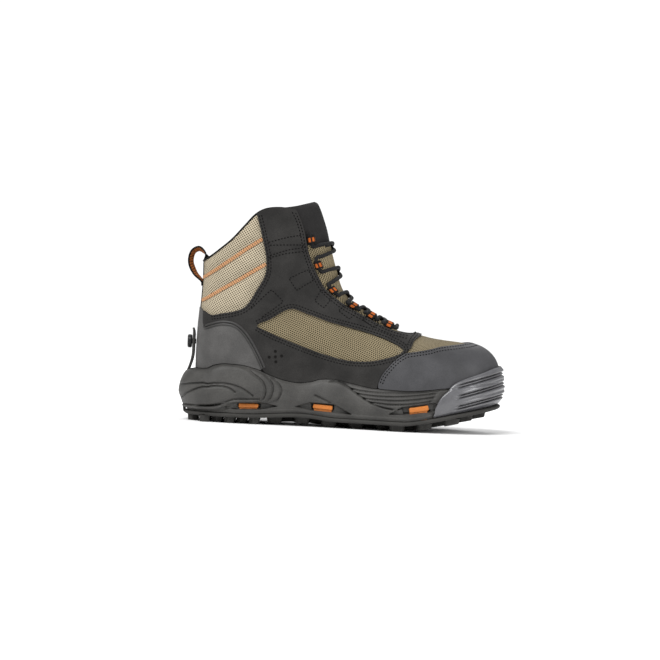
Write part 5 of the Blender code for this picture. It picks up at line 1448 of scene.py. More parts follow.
def trimmed(mesh, distance):
    """Keep the part of a sheet where a distance is below zero. The cut runs exactly along zero."""
    shape = bmesh.new()
    shape.from_mesh(mesh)
    bmesh.ops.triangulate(shape, faces=shape.faces)
    shape.verts.ensure_lookup_table()
    places = np.array([vert.co[:] for vert in shape.verts])
    values = distance(places)
    values[np.abs(values) < 1e-6] = -1e-6
    known = dict(zip(shape.verts, values))
    crossing = [edge for edge in shape.edges if known[edge.verts[0]] * known[edge.verts[1]] < 0]
    fresh = []
    for edge in crossing:
        one, other = edge.verts
        share = known[one] / (known[one] - known[other])
        _, vert = bmesh.utils.edge_split(edge, one, share)
        known[vert] = 0.0
        fresh.append(vert)
    bmesh.ops.connect_verts(shape, verts=fresh)
    bmesh.ops.delete(shape, geom=[vert for vert in shape.verts if known[vert] > 0], context="VERTS")
    bmesh.ops.remove_doubles(shape, verts=shape.verts, dist=1e-5)
    shape.to_mesh(mesh)
    shape.free()
    mesh.update()
    return mesh


def side_distance(places, outline):
    """Side-view distance of 3-D points to an outline in metres, negative inside it."""
    return outline_distance(places[:, [0, 2]], outline)


SKIN = upper_skin(COLUMNS)
print("skin faces:", len(SKIN.polygons))

# %% [markdown]
# Here are the outlines of the pattern's pieces as seen from the side: the grey counter behind the heel, the
# toe cap, and the black quarter between them with its two windows of mesh. The collar's mesh is padded, so
# it swells between its two orange channels. The ankle's mesh lies flatter.

# %% Pattern outlines and the cloth upper
SEAM = 0.0002
RIM_CLEAR = 0.0006
TOE_CAP_WALL = 0.0015
COLLAR_PUFF = 0.0021
COLLAR_SOFTNESS = 0.009
ANKLE_PUFF = 0.0007
ANKLE_SOFTNESS = 0.008
BACK_SEAM_FADE = 0.010
CLOTH_UNDERLAP = 0.002
VAMP_START = Spot(0.66, 0.33)
COUNTER_LINE = (
    (0.044, 0.505), (0.053, 0.492), (0.057, 0.440), (0.064, 0.412), (0.081, 0.420), (0.104, 0.431),
    (0.125, 0.435), (0.150, 0.430), (0.177, 0.403), (0.202, 0.357), (0.227, 0.295), (0.243, 0.248),
)
TOE_CAP_BACK = (
    (0.602, 0.170), (0.604, 0.212), (0.614, 0.248), (0.631, 0.281), (0.654, 0.318), (0.682, 0.347),
)
TOE_CAP_TOP = TOE_CAP_BACK[-1:] + (
    (0.718, 0.356), (0.753, 0.365), (0.788, 0.379), (0.841, 0.391), (0.891, 0.403), (0.940, 0.420),
)
VAMP_BACK = TOE_CAP_BACK[-1:] + (
    (0.700, 0.372), (0.708, 0.400), (0.722, 0.418), (0.745, 0.440), (0.760, 0.470),
)
MID_WINDOW = (
    (0.222, 0.438), (0.263, 0.470), (0.302, 0.508), (0.327, 0.520), (0.384, 0.497), (0.437, 0.473),
    (0.504, 0.449), (0.570, 0.426), (0.630, 0.398), (0.676, 0.360), (0.664, 0.342), (0.626, 0.321),
    (0.574, 0.304), (0.509, 0.303), (0.442, 0.322), (0.376, 0.350), (0.309, 0.383), (0.255, 0.413),
)
COLLAR_FRONT = (
    (0.052, 0.495), (0.080, 0.474), (0.109, 0.482), (0.179, 0.514), (0.217, 0.598), (0.240, 0.667),
    (0.241, 0.732), (0.224, 0.836), (0.208, 0.915), (0.190, 1.000),
)
CHANNELS = (
    ((0.048, 0.638), (0.055, 0.644), (0.083, 0.671), (0.112, 0.702), (0.144, 0.736), (0.177, 0.773),
     (0.226, 0.822)),
    ((0.048, 0.536), (0.057, 0.542), (0.086, 0.569), (0.119, 0.600), (0.155, 0.632), (0.188, 0.664),
     (0.240, 0.712)),
)


def spots(*pairs):
    return spots_to_metres(pairs)


def along_rim(start, end):
    x = np.linspace(start, end, 60) * BOOT_LENGTH
    return np.stack([x, rim_height(x) + RIM_CLEAR], axis=1)


MID_OUTLINE = flowing_line(MID_WINDOW, 6, True)
COLLAR_OUTLINE = np.vstack([spots((-0.05, 0.495)), flowing_line(COLLAR_FRONT, 8), spots((-0.05, 1.05))])
COUNTER_EDGE = flowing_line(COUNTER_LINE, 8)
CAP_BACK_EDGE = flowing_line(TOE_CAP_BACK[1:], 8)
CAP_TOP_EDGE = flowing_line(TOE_CAP_TOP, 8)
QUARTER_OUTLINE = np.vstack([
    spots((-0.06, 0.505)), COUNTER_EDGE + SEAM, along_rim(0.2525, 0.600), CAP_BACK_EDGE + (-SEAM, SEAM),
    flowing_line(VAMP_BACK, 6)[1:] + (-SEAM, SEAM), spots((0.80, 0.70), (0.60, 1.15), (-0.06, 1.15)),
])
COUNTER_OUTLINE = np.vstack([
    spots((-0.06, 0.505)), COUNTER_EDGE - SEAM, along_rim(0.242, 0.030), spots((-0.06, 0.235)),
])
CAP_OUTLINE = np.vstack([
    CAP_BACK_EDGE + (SEAM, -SEAM), CAP_TOP_EDGE[1:] + (SEAM, -SEAM), spots((1.06, 0.46)),
    along_rim(1.06, 0.604),
])


print("pattern outlines:", len((MID_OUTLINE, COLLAR_OUTLINE, QUARTER_OUTLINE, COUNTER_OUTLINE, CAP_OUTLINE)))

# %% [markdown]
# The cloth upper takes its finishes by place, so the weave changes from panel to panel on one wall: one mesh
# at the ankle, one at the collar, one over the toes, and a dark lining inside. The outer faces under the
# overlays take the dark lining too, as painted shade in the thin gap above the midsole. In the thickened mesh
# the outer faces come before the inner ones, and so they are told apart by their order.

# %% The cloth upper
def mesh_puff(places):
    """How far the padded mesh swells: most in the middle between its seams."""
    points = places[:, [0, 2]]
    collar_gap = -outline_distance(points, COLLAR_OUTLINE)
    top = flowing_line(COLLAR_ROWS, 8)
    for line in [top] + [flowing_line(channel, 8) for channel in CHANNELS]:
        collar_gap = np.minimum(collar_gap, line_distance(points, line))
    ankle_gap = -outline_distance(points, MID_OUTLINE)
    off_seam = smoothstep((points[:, 0] - back_place(points[:, 1])) / BACK_SEAM_FADE)
    collar = COLLAR_PUFF * smoothstep(collar_gap / COLLAR_SOFTNESS) * off_seam
    return collar + ANKLE_PUFF * smoothstep(ankle_gap / ANKLE_SOFTNESS)


def make_upper():
    mesh = thickened(moved_out(SKIN.copy(), mesh_puff), UPPER_WALL, False)
    centres = read_off(mesh.polygons, "center")
    outer = np.arange(len(mesh.polygons)) < len(SKIN.polygons)
    over_toes = centres[:, 0] > VAMP_START.along * BOOT_LENGTH
    over_toes &= centres[:, 2] > VAMP_START.up * BOOT_HEIGHT
    # Every face starts dark: the lining inside, and painted shade on the outer faces under the overlays,
    # which shows in the gap above the midsole.
    finish = np.ones(len(mesh.polygons), dtype=np.int32)
    finish[outer & (side_distance(centres, MID_OUTLINE) < CLOTH_UNDERLAP)] = 0
    finish[outer & (side_distance(centres, COLLAR_OUTLINE) < CLOTH_UNDERLAP)] = 2
    finish[outer & over_toes] = 3
    materials = [ANKLE_MESH, LINING_AND_GAP_SHADE, COLLAR_MESH, VAMP_MESH]
    finish_piece(mesh, "cloth_upper", materials, "upper")
    mesh.polygons.foreach_set("material_index", finish)


make_upper()
print("cloth upper made")

# %% [markdown]
# The overlays lie on the cloth, each cut from the same skin. Where the mesh below is padded, a narrow edge
# of it shows a step, as it does on the real boot.

# %% Overlays
def make_overlay(name, node, distance, wall, material):
    sheet = trimmed(moved_out(SKIN.copy(), OVERLAY_LIFT), distance)
    finish_piece(thickened(sheet, wall, True), name, [material], node)


def quarter_distance(places):
    window = np.minimum(side_distance(places, COLLAR_OUTLINE), side_distance(places, MID_OUTLINE))
    return np.maximum(side_distance(places, QUARTER_OUTLINE), -window)


make_overlay("quarter", "quarter_overlay", quarter_distance, OVERLAY_WALL, BLACK_SYNTHETIC)
make_overlay("counter", "heel_counter", lambda places: side_distance(places, COUNTER_OUTLINE), OVERLAY_WALL,
             GREY_SYNTHETIC)
make_overlay("cap", "toe_cap", lambda places: side_distance(places, CAP_OUTLINE), TOE_CAP_WALL,
             CAP_SYNTHETIC)
print("overlays: 3")

# %% [markdown]
# ## Trim on the upper
#
# Seams, piping and stitches make the difference between a boot and a model of one. All of them are placed by
# a spot seen from the side: one function finds the point on the upper there and the direction outwards.

# %% Points on the upper, stitches and bands
NEARBY = 0.0006


def on_upper(points, side, lift):
    """3-D points on the upper for side-view points, lifted off it, with their outward directions."""
    def place(spots_there):
        solid = lifted(spots_there)
        solid[:, 1] = plan_middle(solid[:, 0]) + side * solid[:, 1]
        return solid

    along, up = (NEARBY, 0.0), (0.0, NEARBY)
    run = place(points + along) - place(points - along)
    rise = place(points + up) - place(points - up)
    normals = unit(np.cross(run, rise) * -side)
    return place(points) + normals * lift, normals


def shifted(line, distance):
    """A side-view line moved sideways: to the left of its direction when positive."""
    tangents = unit(np.gradient(line, axis=0))
    return line + np.stack([-tangents[:, 1], tangents[:, 0]], axis=1) * distance


STITCH_LENGTH = 0.0018
STITCH_GAP = 0.0013
STITCH_RADIUS = 0.00055
STITCH_SIDES = 5
# The stitch's body: shares of half its length, and of its radius
STITCH_BODY = ((-1.0, 0.35), (-0.7, 0.95), (0.7, 0.95), (1.0, 0.35))


def stitches(lines, side, lift):
    """Small rounded stitches along side-view lines over the upper, as one mesh."""
    verts, faces = [], []
    angles = 2 * math.pi * np.arange(STITCH_SIDES) / STITCH_SIDES
    for line in lines:
        path, normals = on_upper(line, side, lift)
        lengths = arc_lengths(path)
        count = int(lengths[-1] / (STITCH_LENGTH + STITCH_GAP))
        for distance in (np.arange(count) + 0.5) * lengths[-1] / max(count, 1):
            start, end = [np.array([np.interp(distance + shift, lengths, path[:, k]) for k in range(3)])
                          for shift in (-STITCH_LENGTH / 2, STITCH_LENGTH / 2)]
            out = np.array([np.interp(distance, lengths, normals[:, k]) for k in range(3)])
            run = unit(end - start)
            round_it = np.cos(angles)[:, None] * np.cross(run, out) + np.sin(angles)[:, None] * out
            first = len(verts)
            for share, radius in STITCH_BODY:
                centre = (start + end) / 2 + run * share * STITCH_LENGTH / 2
                verts += (centre + STITCH_RADIUS * radius * round_it).tolist()
            for low in range(first, first + (len(STITCH_BODY) - 1) * STITCH_SIDES, STITCH_SIDES):
                for k in range(STITCH_SIDES):
                    m = (k + 1) % STITCH_SIDES
                    faces.append((low + k, low + m, low + STITCH_SIDES + m, low + STITCH_SIDES + k))
            faces.append(tuple(range(first + STITCH_SIDES - 1, first - 1, -1)))
            faces.append(tuple(range(len(verts) - STITCH_SIDES, len(verts))))
    mesh = bpy.data.meshes.new("stitches")
    mesh.from_pydata(verts, [], faces)
    mesh.uv_layers.new(name="cloth")
    mesh.update()
    return mesh


def band_on_upper(line, side, lift, outline):
    """A band swept along a side-view line over the upper."""
    path, normals = on_upper(line, side, lift)
    return sweep("band", path, outline, ups=normals)


TRIM_STEP = 0.002
BELOW_COLLAR = 0.002


def resampled(line):
    """The part of a line that lies on the upper, with points at an even spacing."""
    collar = flowing_line(COLLAR_ROWS, 12)
    top = np.interp(line[:, 0], collar[:, 0], collar[:, 1])
    line = line[(line[:, 1] < top - BELOW_COLLAR) | (line[:, 0] > collar[-1, 0])]
    count = max(int(arc_lengths(line)[-1] / TRIM_STEP), 2)
    return along_arc(line, np.linspace(0.0, 1.0, count + 1))


print("trim helpers ready")

# %% [markdown]
# Double rows of black stitches follow the edges of the quarter and of the toe cap, and more of them draw the
# boxes where the lace loops are sewn through the eyestay. Two thin dark ridges are welded along the
# counter's front edge. Two orange channels cross the collar's mesh, and a thin black binding closes the
# collar's top. All of these are raised bodies, because they show in the light from the side.

# %% Seams, piping, channels and binding
EDGE_ROWS = (0.0019, 0.0044)
ON_OVERLAY = OVERLAY_LIFT + OVERLAY_WALL
EYESTAY_BOXES = (
    ((0.243, 0.809), (0.270, 0.821), (0.303, 0.836), (0.343, 0.848)),
    ((0.247, 0.797), (0.290, 0.801), (0.355, 0.805)),
    ((0.250, 0.751), (0.272, 0.763), (0.305, 0.780), (0.359, 0.796)),
    ((0.246, 0.740), (0.300, 0.764), (0.362, 0.779)),
    ((0.313, 0.654), (0.340, 0.676), (0.369, 0.697), (0.387, 0.650), (0.362, 0.628), (0.338, 0.602),
     (0.313, 0.654)),
    ((0.200, 0.509), (0.230, 0.556), (0.261, 0.601), (0.300, 0.551), (0.268, 0.512), (0.235, 0.475)),
    ((0.395, 0.560), (0.412, 0.610), (0.446, 0.575), (0.424, 0.530), (0.395, 0.560)),
    ((0.468, 0.520), (0.486, 0.545), (0.524, 0.512), (0.503, 0.484), (0.468, 0.520)),
    ((0.545, 0.482), (0.560, 0.500), (0.596, 0.470), (0.580, 0.448), (0.545, 0.482)),
)
VENTS = ((0.282, 0.328), (0.264, 0.301), (0.283, 0.304), (0.302, 0.309), (0.285, 0.282))
# A vent's eyelet from its middle to its rim, as (out, radius)
VENT_PROFILE = ((0.0001, 0.0), (0.0001, 0.0009), (0.0004, 0.0011), (0.0003, 0.0015), (-0.0003, 0.0016))
PIPING_RADIUS = 0.00115
PIPING_ROWS = (0.0002, 0.0028)
PIPING_START = 0.060
CAP_SEAM_END = 0.905
BINDING_RADIUS = 0.0012
BINDING_REACH = 0.0018
BINDING_DROP = 0.0005
BACK_SEAM_WIDTH = 0.0078
BACK_SEAM_WALL = 0.0017
CHANNEL_WIDTH = 0.0034
CHANNEL_WALL = 0.0010
CHANNEL_LIFT = 0.0006


def seam_lines():
    """Side-view lines of all the stitching that lies on the black quarter."""
    throat = flowing_line(THROAT_ROWS[:-1], 10)
    lines = []
    for distance in EDGE_ROWS:
        lines.append(shifted(flowing_line(MID_WINDOW + MID_WINDOW[:1], 8), distance))
        lines.append(shifted(flowing_line(COLLAR_FRONT[1:], 8), -distance))
        lines.append(shifted(flowing_line(VAMP_BACK[1:4], 6), distance))
        lines.append(shifted(throat, -distance))
    for box in EYESTAY_BOXES:
        lines.append(np.vstack([spots_to_metres(pair) for pair in zip(box, box[1:])]))
    return [resampled(line) for line in lines]


def cap_lines():
    edge = np.vstack([CAP_BACK_EDGE, CAP_TOP_EDGE[1:]])
    keep = edge[:, 0] < CAP_SEAM_END * BOOT_LENGTH
    return [resampled(shifted(edge[keep], -distance)) for distance in EDGE_ROWS]


def make_trim():
    seams, piping, channels = [], [], []
    counter = COUNTER_EDGE[COUNTER_EDGE[:, 0] > PIPING_START * BOOT_LENGTH]
    cord = round_outline(PIPING_RADIUS, PIPING_RADIUS, 8)
    tape = band_outline(CHANNEL_WIDTH, CHANNEL_WALL)
    for side in (LATERAL, MEDIAL):
        seams.append(stitches(seam_lines(), side, ON_OVERLAY))
        seams.append(stitches(cap_lines(), side, OVERLAY_LIFT + TOE_CAP_WALL))
        for distance in PIPING_ROWS:
            line = resampled(shifted(counter, distance))
            piping.append(band_on_upper(line, side, ON_OVERLAY, cord))
        for channel in CHANNELS:
            line = resampled(flowing_line(channel, 8))
            channels.append(band_on_upper(line, side, CHANNEL_LIFT, tape))
    for name, meshes, finish, slot in (("stitching", seams, THREAD, "black_synthetic"),
                                       ("counter_piping", piping, PIPING, "grey_synthetic"),
                                       ("collar_channels", channels, CHANNEL_THREAD, "webbing")):
        finish_piece(joined(name, meshes), name, [finish])


print("seam lines on a side:", len(seam_lines()) + len(cap_lines()))

# %% [markdown]
# The binding follows the top edge of the upper's own columns, so it can't drift off it. The strip behind
# the heel covers the seam where both halves of the collar meet, and the vents are small turned eyelets.

# %% Binding, back seam and vents
def make_binding():
    """A thin black binding over the top edge of the collar and the throat."""
    count = UPPER_COLUMNS[0] + UPPER_COLUMNS[1]
    edge = COLUMNS[:count + 1, -1]
    inner = edge.copy()
    inner[:, 1] = np.maximum(inner[:, 1] - UPPER_WALL / 2, 0.0)
    inner[0, 0] += UPPER_WALL / 2
    halves = []
    for side in (LATERAL, MEDIAL):
        line = inner.copy()
        line[:, 1] = plan_middle(line[:, 0]) + side * line[:, 1]
        halves.append(line)
    path = np.vstack([halves[0][::-1], halves[1][1:]])
    path[:, 2] -= BINDING_DROP
    return sweep("binding", path, round_outline(BINDING_REACH, BINDING_RADIUS, 12))


def make_back_seam():
    """A black strip over the seam behind the heel, from the counter up to the collar."""
    heights = np.linspace(0.500, 0.712, 40) * BOOT_HEIGHT
    path = np.stack([back_place(heights), 0.0 * heights, heights], axis=1)
    return sweep("back_seam", path, band_outline(BACK_SEAM_WIDTH, BACK_SEAM_WALL), BACKWARDS)


def make_vents():
    """Five small eyelets in the quarter above the arch, which let the water out."""
    discs = []
    for side in (LATERAL, MEDIAL):
        for place, normal in zip(*on_upper(spots_to_metres(VENTS), side, ON_OVERLAY)):
            disc = turned("vent", VENT_PROFILE, 16)
            disc.transform(Vector(normal).to_track_quat("X", "Z").to_matrix().to_4x4())
            disc.transform(Matrix.Translation(place))
            discs.append(disc)
    return discs


make_trim()
bindings = joined("binding", [make_binding(), make_back_seam()])
finish_piece(bindings, "collar_binding", [BINDING])
finish_piece(joined("vents", make_vents()), "vents", [BINDING])
print("trim pieces: 5")

# %% [markdown]
# ## Tongue and insole
#
# The tongue is a padded tongue of cloth: thick in the middle, thin at its edges, with a black cuff at the
# top and mesh below it. It lies just under the throat, and the laces pull it in. The insole is a soft pad.

# %% Tongue and insole
TONGUE_WALL = 0.005
TONGUE_DROP = 0.003
TONGUE_CLEAR = 0.0022
TONGUE_SPAN = Span(0.393, 0.745)
UNDER_VAMP = Span(0.80, 0.88)
UNDER_EYESTAY = Span(0.45, 0.75)
CUFF_BOTTOM = 0.179
CUFF_RISE = 0.0028
CUFF_SHARE = 0.14
TONGUE_GRID = (90, 61)
# How far in from its ends and its sides a pad is thinned, as shares of its half
PAD_EDGES = (0.05, 0.16)
INSOLE_COLUMNS = (40, 60, 40)
# The insole's outline from underneath round to its top: share of its half width, and height
INSOLE_SECTION = (
    (0.0, SEAT_GAP), (0.97, SEAT_GAP), (1.0, 0.0012), (1.0, 0.0034), (0.97, 0.0043), (0.9, 0.0040),
    (0.6, 0.0036), (0.0, 0.0035),
)
TONGUE_EDGE_ROWS = (
    (0.283, 0.968), (0.300, 0.870), (0.321, 0.771), (0.337, 0.718), (0.356, 0.660), (0.381, 0.600),
    (0.421, 0.543), (0.468, 0.498), (0.524, 0.460), (0.577, 0.425), (0.640, 0.398), (0.700, 0.384),
)


def across_surface(edge, ridge, rows, columns):
    """Points over the instep: rows down the throat, columns from the outer edge to the inner one."""
    edge_points = along_arc(edge, np.linspace(0.0, 1.0, rows))
    ridge_points = along_arc(ridge, np.linspace(0.0, 1.0, rows))
    spread = 1.0 - (1.0 - np.linspace(0.0, 1.0, 61)) ** 2
    grid = np.zeros((rows, columns, 3))
    half_count = columns // 2
    for i in range(rows):
        solid = lifted(edge_points[i] + spread[:, None] * (ridge_points[i] - edge_points[i]))
        solid[-1, 1] = 0.0
        solid = along_arc(solid, np.linspace(0.0, 1.0, half_count + 1))
        for k, (x, half, z) in enumerate(solid):
            grid[i, k] = (x, plan_middle(x) - half, z)
            grid[i, columns - 1 - k] = (x, plan_middle(x) + half, z)
    return grid


def front_stretch(start, end):
    """The part of the front line between two places along the boot."""
    x = FRONT_LINE[:, 0]
    inner = FRONT_LINE[(x > start) & (x < end)]
    return np.vstack([[start, ridge_height(start)], inner, [end, ridge_height(end)]])


def grid_normals(grid):
    """Directions out of a grid of points, towards the front of the boot."""
    normals = unit(np.cross(np.gradient(grid, axis=1), np.gradient(grid, axis=0)))
    return normals if normals[..., 0].sum() > 0 else -normals


def pad_mesh(name, outer, normals, wall):
    """A padded body behind a grid of points: full inside, thin all round its edge."""
    down = np.linspace(-1.0, 1.0, outer.shape[0])[:, None]
    across = np.linspace(-1.0, 1.0, outer.shape[1])[None, :]
    near_end, near_side = (1.0 - np.abs(down)) / PAD_EDGES[0], (1.0 - np.abs(across)) / PAD_EDGES[1]
    full = round_off(near_end, 2.0) * round_off(near_side, 2.0)
    front = outer - normals * (wall / 2 * (1.0 - full))[..., None]
    back = outer - normals * (wall / 2 * (1.0 + full))[..., None]
    loop = np.concatenate([front, back[:, ::-1]], axis=1)
    return mended(grid_mesh(name, np.concatenate([loop, loop[:, :1]], axis=1)), 1e-6)



# %% [markdown]
# The tongue's front takes the mesh below its cuff, chosen by the height and the direction of each face, so
# its back stays plain. The insole is a row of outlines from its underside round to its top.

# %% The two pads
def make_tongue():
    edge = flowing_line(TONGUE_EDGE_ROWS)
    ridge = front_stretch(TONGUE_SPAN.start * BOOT_LENGTH, TONGUE_SPAN.end * BOOT_LENGTH)
    grid = across_surface(edge, ridge, *TONGUE_GRID)
    normals = grid_normals(grid)
    down = np.linspace(0.0, 1.0, TONGUE_GRID[0])[:, None]
    off_middle = np.abs(np.linspace(-1.0, 1.0, TONGUE_GRID[1]))[None, :]
    share = np.maximum(over_span(off_middle, UNDER_EYESTAY), over_span(down, UNDER_VAMP))
    drop = TONGUE_DROP + (UPPER_WALL + TONGUE_CLEAR - TONGUE_DROP) * share
    grid[..., 2] += CUFF_RISE * smoothstep(1.0 - off_middle) * smoothstep(1.0 - down / CUFF_SHARE)
    mesh = pad_mesh("tongue_pad", grid - normals * drop[..., None], normals, TONGUE_WALL)
    piece = finish_piece(mesh, "tongue_pad", [TONGUE_CLOTH, TONGUE_MESH], "tongue")
    centres, facing = read_off(mesh.polygons, "center"), read_off(mesh.polygons, "normal")
    shows_mesh = (centres[:, 2] < CUFF_BOTTOM) & (facing[:, 0] + facing[:, 2] > 0.0)
    mesh.polygons.foreach_set("material_index", shows_mesh.astype(np.int32))


def make_insole():
    inwards = UPPER_WALL + 2 * SEAT_GAP
    share = even_shares(INSOLE_COLUMNS)[:, None]
    toe = BOOT_LENGTH - FRONT_LINE[-1, 0] + inwards
    x, half = inset_outline(share, UPPER_HEEL + inwards, UPPER_SIDE + inwards, toe)
    bed = floor_height(x)
    columns = [np.concatenate([x, half * width, bed + lift], axis=1) for width, lift in INSOLE_SECTION]
    mesh = both_sides("insole_pad", np.stack(columns, axis=1))
    finish_piece(mesh, "insole_pad", [INSOLE_CLOTH], "insole")


make_tongue()
make_insole()
print("padded pieces: 2")

# %% [markdown]
# ## Laces and loops
#
# Six webbing loops stand on each side of the throat, and a round braided lace runs through them. It rises
# from a bar at the bottom, through a loop, over the tongue to the other side and up again. Both halves of
# the lace cross just beside the tongue's ridge, so the outline in front shows pairs of small bumps.

# %% Lace loops
LACE_RADIUS = 0.0019
LOOP_WIDTH = 0.0078
LOOP_REACH = 0.0080
LOOP_RISE = 0.0064
LOOP_WALL = 0.0011
LOOP_START = 0.0021
LOOP_LIFT = 0.0010
LOOP_ACROSS = 0.93
LOOP_MIDDLE = LOOP_START + LOOP_REACH / 2
THROAT_TOP = 0.402
THROAT_GRID = (61, 41)
LOOP_SIDES = 40
LOOP_ALONG = (0.358, 0.384, 0.435, 0.502, 0.562, 0.622)


class Throat:
    """The open front between the eyestays, measured by shares down it and across it."""

    def __init__(self):
        self.edge = flowing_line(THROAT_ROWS, 24)
        self.edge[-1, 1] = ridge_height(self.edge[-1, 0])
        self.lengths = arc_lengths(self.edge)
        ridge = front_stretch(THROAT_TOP * BOOT_LENGTH, THROAT_END)
        self.grid = across_surface(self.edge, ridge, *THROAT_GRID)

    def down(self, along):
        """Share down the throat's edge at a place along the boot."""
        return np.interp(along * BOOT_LENGTH, self.edge[:, 0], self.lengths) / self.lengths[-1]

    def point(self, down, across):
        """A point on the surface: down from 0 to 1, across from -1 (outer) to 1 (inner)."""
        i = np.clip(down, 0.0, 0.9999) * (self.grid.shape[0] - 1)
        k = np.clip((across + 1) / 2, 0.0, 0.9999) * (self.grid.shape[1] - 1)
        i0, k0 = int(i), int(k)
        top = self.grid[i0, k0] * (1 - (k - k0)) + self.grid[i0, k0 + 1] * (k - k0)
        low = self.grid[i0 + 1, k0] * (1 - (k - k0)) + self.grid[i0 + 1, k0 + 1] * (k - k0)
        return Vector(top * (1 - (i - i0)) + low * (i - i0))

    def frame(self, down, across):
        """Directions at a point: down the throat, towards the inner side, and outwards."""
        step = 0.02
        low = min(max(down, step), 1.0 - step)
        side = min(max(across, -1 + step), 1 - step)
        run = (self.point(low + step, side) - self.point(low - step, side)).normalized()
        over = (self.point(low, side + step) - self.point(low, side - step)).normalized()
        out = over.cross(run).normalized()
        return run, over, out if out.x > 0 else -out


THROAT = Throat()


def loop_frame(row, side):
    """Origin of a lace loop on the throat's edge, and its directions: down the edge, inwards and out."""
    down = THROAT.down(LOOP_ALONG[row])
    run, over, _ = THROAT.frame(down, side * LOOP_ACROSS)
    inwards = over * -side
    out = run.cross(inwards).normalized()
    if out.z + out.x < 0:
        out = -out
    return THROAT.point(down, side), run, inwards, out


def make_loop(row, side, word):
    """One loop of webbing, a flat tube with rounded ends that the lace runs through."""
    origin, run, inwards, out = loop_frame(row, side)
    bend = LOOP_RISE / 2
    angles = np.linspace(0.0, 2 * math.pi, LOOP_SIDES, endpoint=False)
    half = LOOP_WIDTH / 2
    rings = []
    for radius, width in ((bend, -half), (bend, half), (bend - LOOP_WALL, half), (bend - LOOP_WALL, -half)):
        ring = []
        for angle in angles:
            middle = LOOP_REACH - bend if math.cos(angle) > 0 else bend
            reach = LOOP_START + middle + radius * math.cos(angle)
            ring.append(origin + inwards * reach + out * (LOOP_LIFT + radius * math.sin(angle)) + run * width)
        rings.append(ring)
    rings.append(rings[0])
    mesh = mended(grid_mesh("loop", np.array(rings).transpose(1, 0, 2), closed=True), 1e-7)
    name = f"lace_loop_{word}_{row + 1}"
    finish_piece(mesh, f"woven_{name}", [LOOP_WEBBING], name)


for row in range(len(LOOP_ALONG)):
    make_loop(row, LATERAL, "lateral")
    make_loop(row, MEDIAL, "medial")
print("lace loops:", 2 * len(LOOP_ALONG))

# %% [markdown]
# Each half of the lace is one smooth path. A simulation would let a cord sag, but a laced boot pulls it
# tight, so its way is known: straight through a loop, then over the tongue to the next one. The pull loop is
# a flat band on a path behind the collar, and it twists a little, as webbing does when it is bent.

# %% Laces and the pull loop
LACE_AT_RIDGE = -0.0004
BAR_LIFT = 0.0002
BAR_DROP = 0.040
LACE_STRAIGHT = 1.4
BAR_SHARES = (-0.12, 0.15, 0.38)
CROSSING_SHARES = (0.17, 0.34, 0.50, 0.66, 0.83)
CROSSING_CLIMB = Span(0.24, 0.76)
CROSSING_SHIFT = 0.15
PULL_WIDTH = 0.009
PULL_WALL = 0.0016
# How far the webbing turns its inner face to the outer side, in radians, along its length
PULL_TWIST = ((0.0, 0.0), (0.10, 0.1), (0.30, 0.55), (0.62, 0.55), (0.78, 0.1), (0.90, -0.6), (1.0, -0.5))
PULL_ROWS = (
    (0.0428, 0.600), (0.0418, 0.620), (0.019, 0.655), (0.004, 0.705), (0.010, 0.750), (0.028, 0.765),
    (0.046, 0.748), (0.053, 0.728), (0.0535, 0.711),
)


def loop_points(row, side):
    """The lace's straight run through one loop, from below it to above it."""
    origin, run, inwards, out = loop_frame(row, side)
    middle = origin + inwards * LOOP_MIDDLE + out * LOOP_LIFT
    half = LOOP_WIDTH / 2 + LACE_RADIUS * LACE_STRAIGHT
    return [middle + run * half, middle - run * half]


def crossing_points(row, side):
    """The lace's way over the tongue, up to the next row of loops on the other side."""
    start, end = THROAT.down(LOOP_ALONG[row]), THROAT.down(LOOP_ALONG[row - 1])
    points = []
    for share in CROSSING_SHARES:
        across = side * (1 - 2 * share)
        climb = CROSSING_CLIMB.start + share * (CROSSING_CLIMB.end - CROSSING_CLIMB.start)
        climb += side * CROSSING_SHIFT * (1 - abs(1 - 2 * share))
        down = start + (end - start) * climb
        _, _, out = THROAT.frame(down, across)
        lift = LACE_AT_RIDGE + (LOOP_LIFT - LACE_AT_RIDGE) * abs(1 - 2 * share) ** 1.5
        points.append(THROAT.point(down, across) + out * lift)
    return points


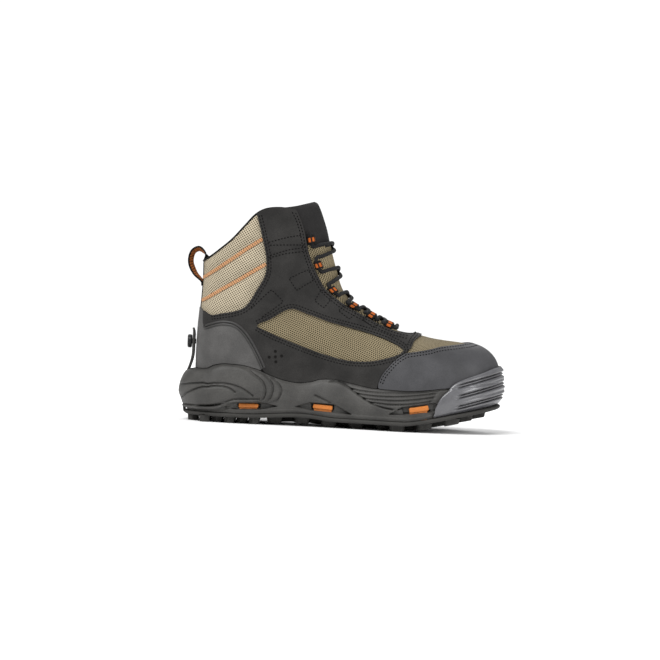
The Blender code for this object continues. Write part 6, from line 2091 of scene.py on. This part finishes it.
def lace_half(first_side):
    """One half of the lace, from the bottom bar up through the loops."""
    down = THROAT.down(LOOP_ALONG[-1]) + BAR_DROP
    points = []
    for across in BAR_SHARES:
        _, _, out = THROAT.frame(down, across * first_side)
        points.append(THROAT.point(down, across * first_side) + out * BAR_LIFT)
    side = first_side
    for row in range(len(LOOP_ALONG) - 1, -1, -1):
        points += loop_points(row, side)
        if row:
            points += crossing_points(row, side)
        side = -side
    return np.array(points)


def flowing_path(knots, per_span=7):
    """A smooth 3-D line through points."""
    knots = np.vstack([2 * knots[0] - knots[1], knots, 2 * knots[-1] - knots[-2]])
    points = []
    for p0, p1, p2, p3 in zip(knots, knots[1:], knots[2:], knots[3:]):
        for t in np.linspace(0.0, 1.0, per_span, endpoint=False)[:, None]:
            points.append(0.5 * (2 * p1 + (p2 - p0) * t + (2 * p0 - 5 * p1 + 4 * p2 - p3) * t ** 2
                                 + (3 * p1 - p0 - 3 * p2 + p3) * t ** 3))
    return np.vstack(points + [knots[-2:-1]])


def make_laces():
    halves, length = [], 0.0
    for side in (LATERAL, MEDIAL):
        path = flowing_path(lace_half(side))
        length += arc_lengths(path)[-1]
        ups = path - np.array([0.25 * BOOT_LENGTH, 0.0, 0.25 * BOOT_HEIGHT])
        halves.append(sweep("lace", path, round_outline(LACE_RADIUS, LACE_RADIUS, 14), ups))
    laces = joined("braided_laces", halves)
    finish_piece(laces, "braided_laces", [LACE_BRAID], "lace_crossings")
    print("lace:", round(length * 1000), "mm")


def make_pull_loop():
    line = flowing_line(PULL_ROWS, 12)
    path = np.stack([line[:, 0], np.zeros(len(line)), line[:, 1]], axis=1)
    tangents = unit(np.gradient(path, axis=0))
    share = np.linspace(0.0, 1.0, len(path))
    twist = np.interp(share, *zip(*PULL_TWIST))[:, None]
    inwards = np.stack([tangents[:, 2], np.zeros(len(path)), -tangents[:, 0]], axis=1)
    ups = inwards * np.cos(twist) + np.array([0.0, -1.0, 0.0]) * np.sin(twist)
    mesh = sweep("pull_webbing_loop", path, band_outline(PULL_WIDTH, PULL_WALL), ups)
    finish_piece(mesh, "pull_webbing_loop", [PULL_WEBBING], "pull_loop")
    print("pull loop:", round(arc_lengths(path)[-1] * 1000), "mm")


make_laces()
make_pull_loop()

# %% [markdown]
# ## The finished boot
#
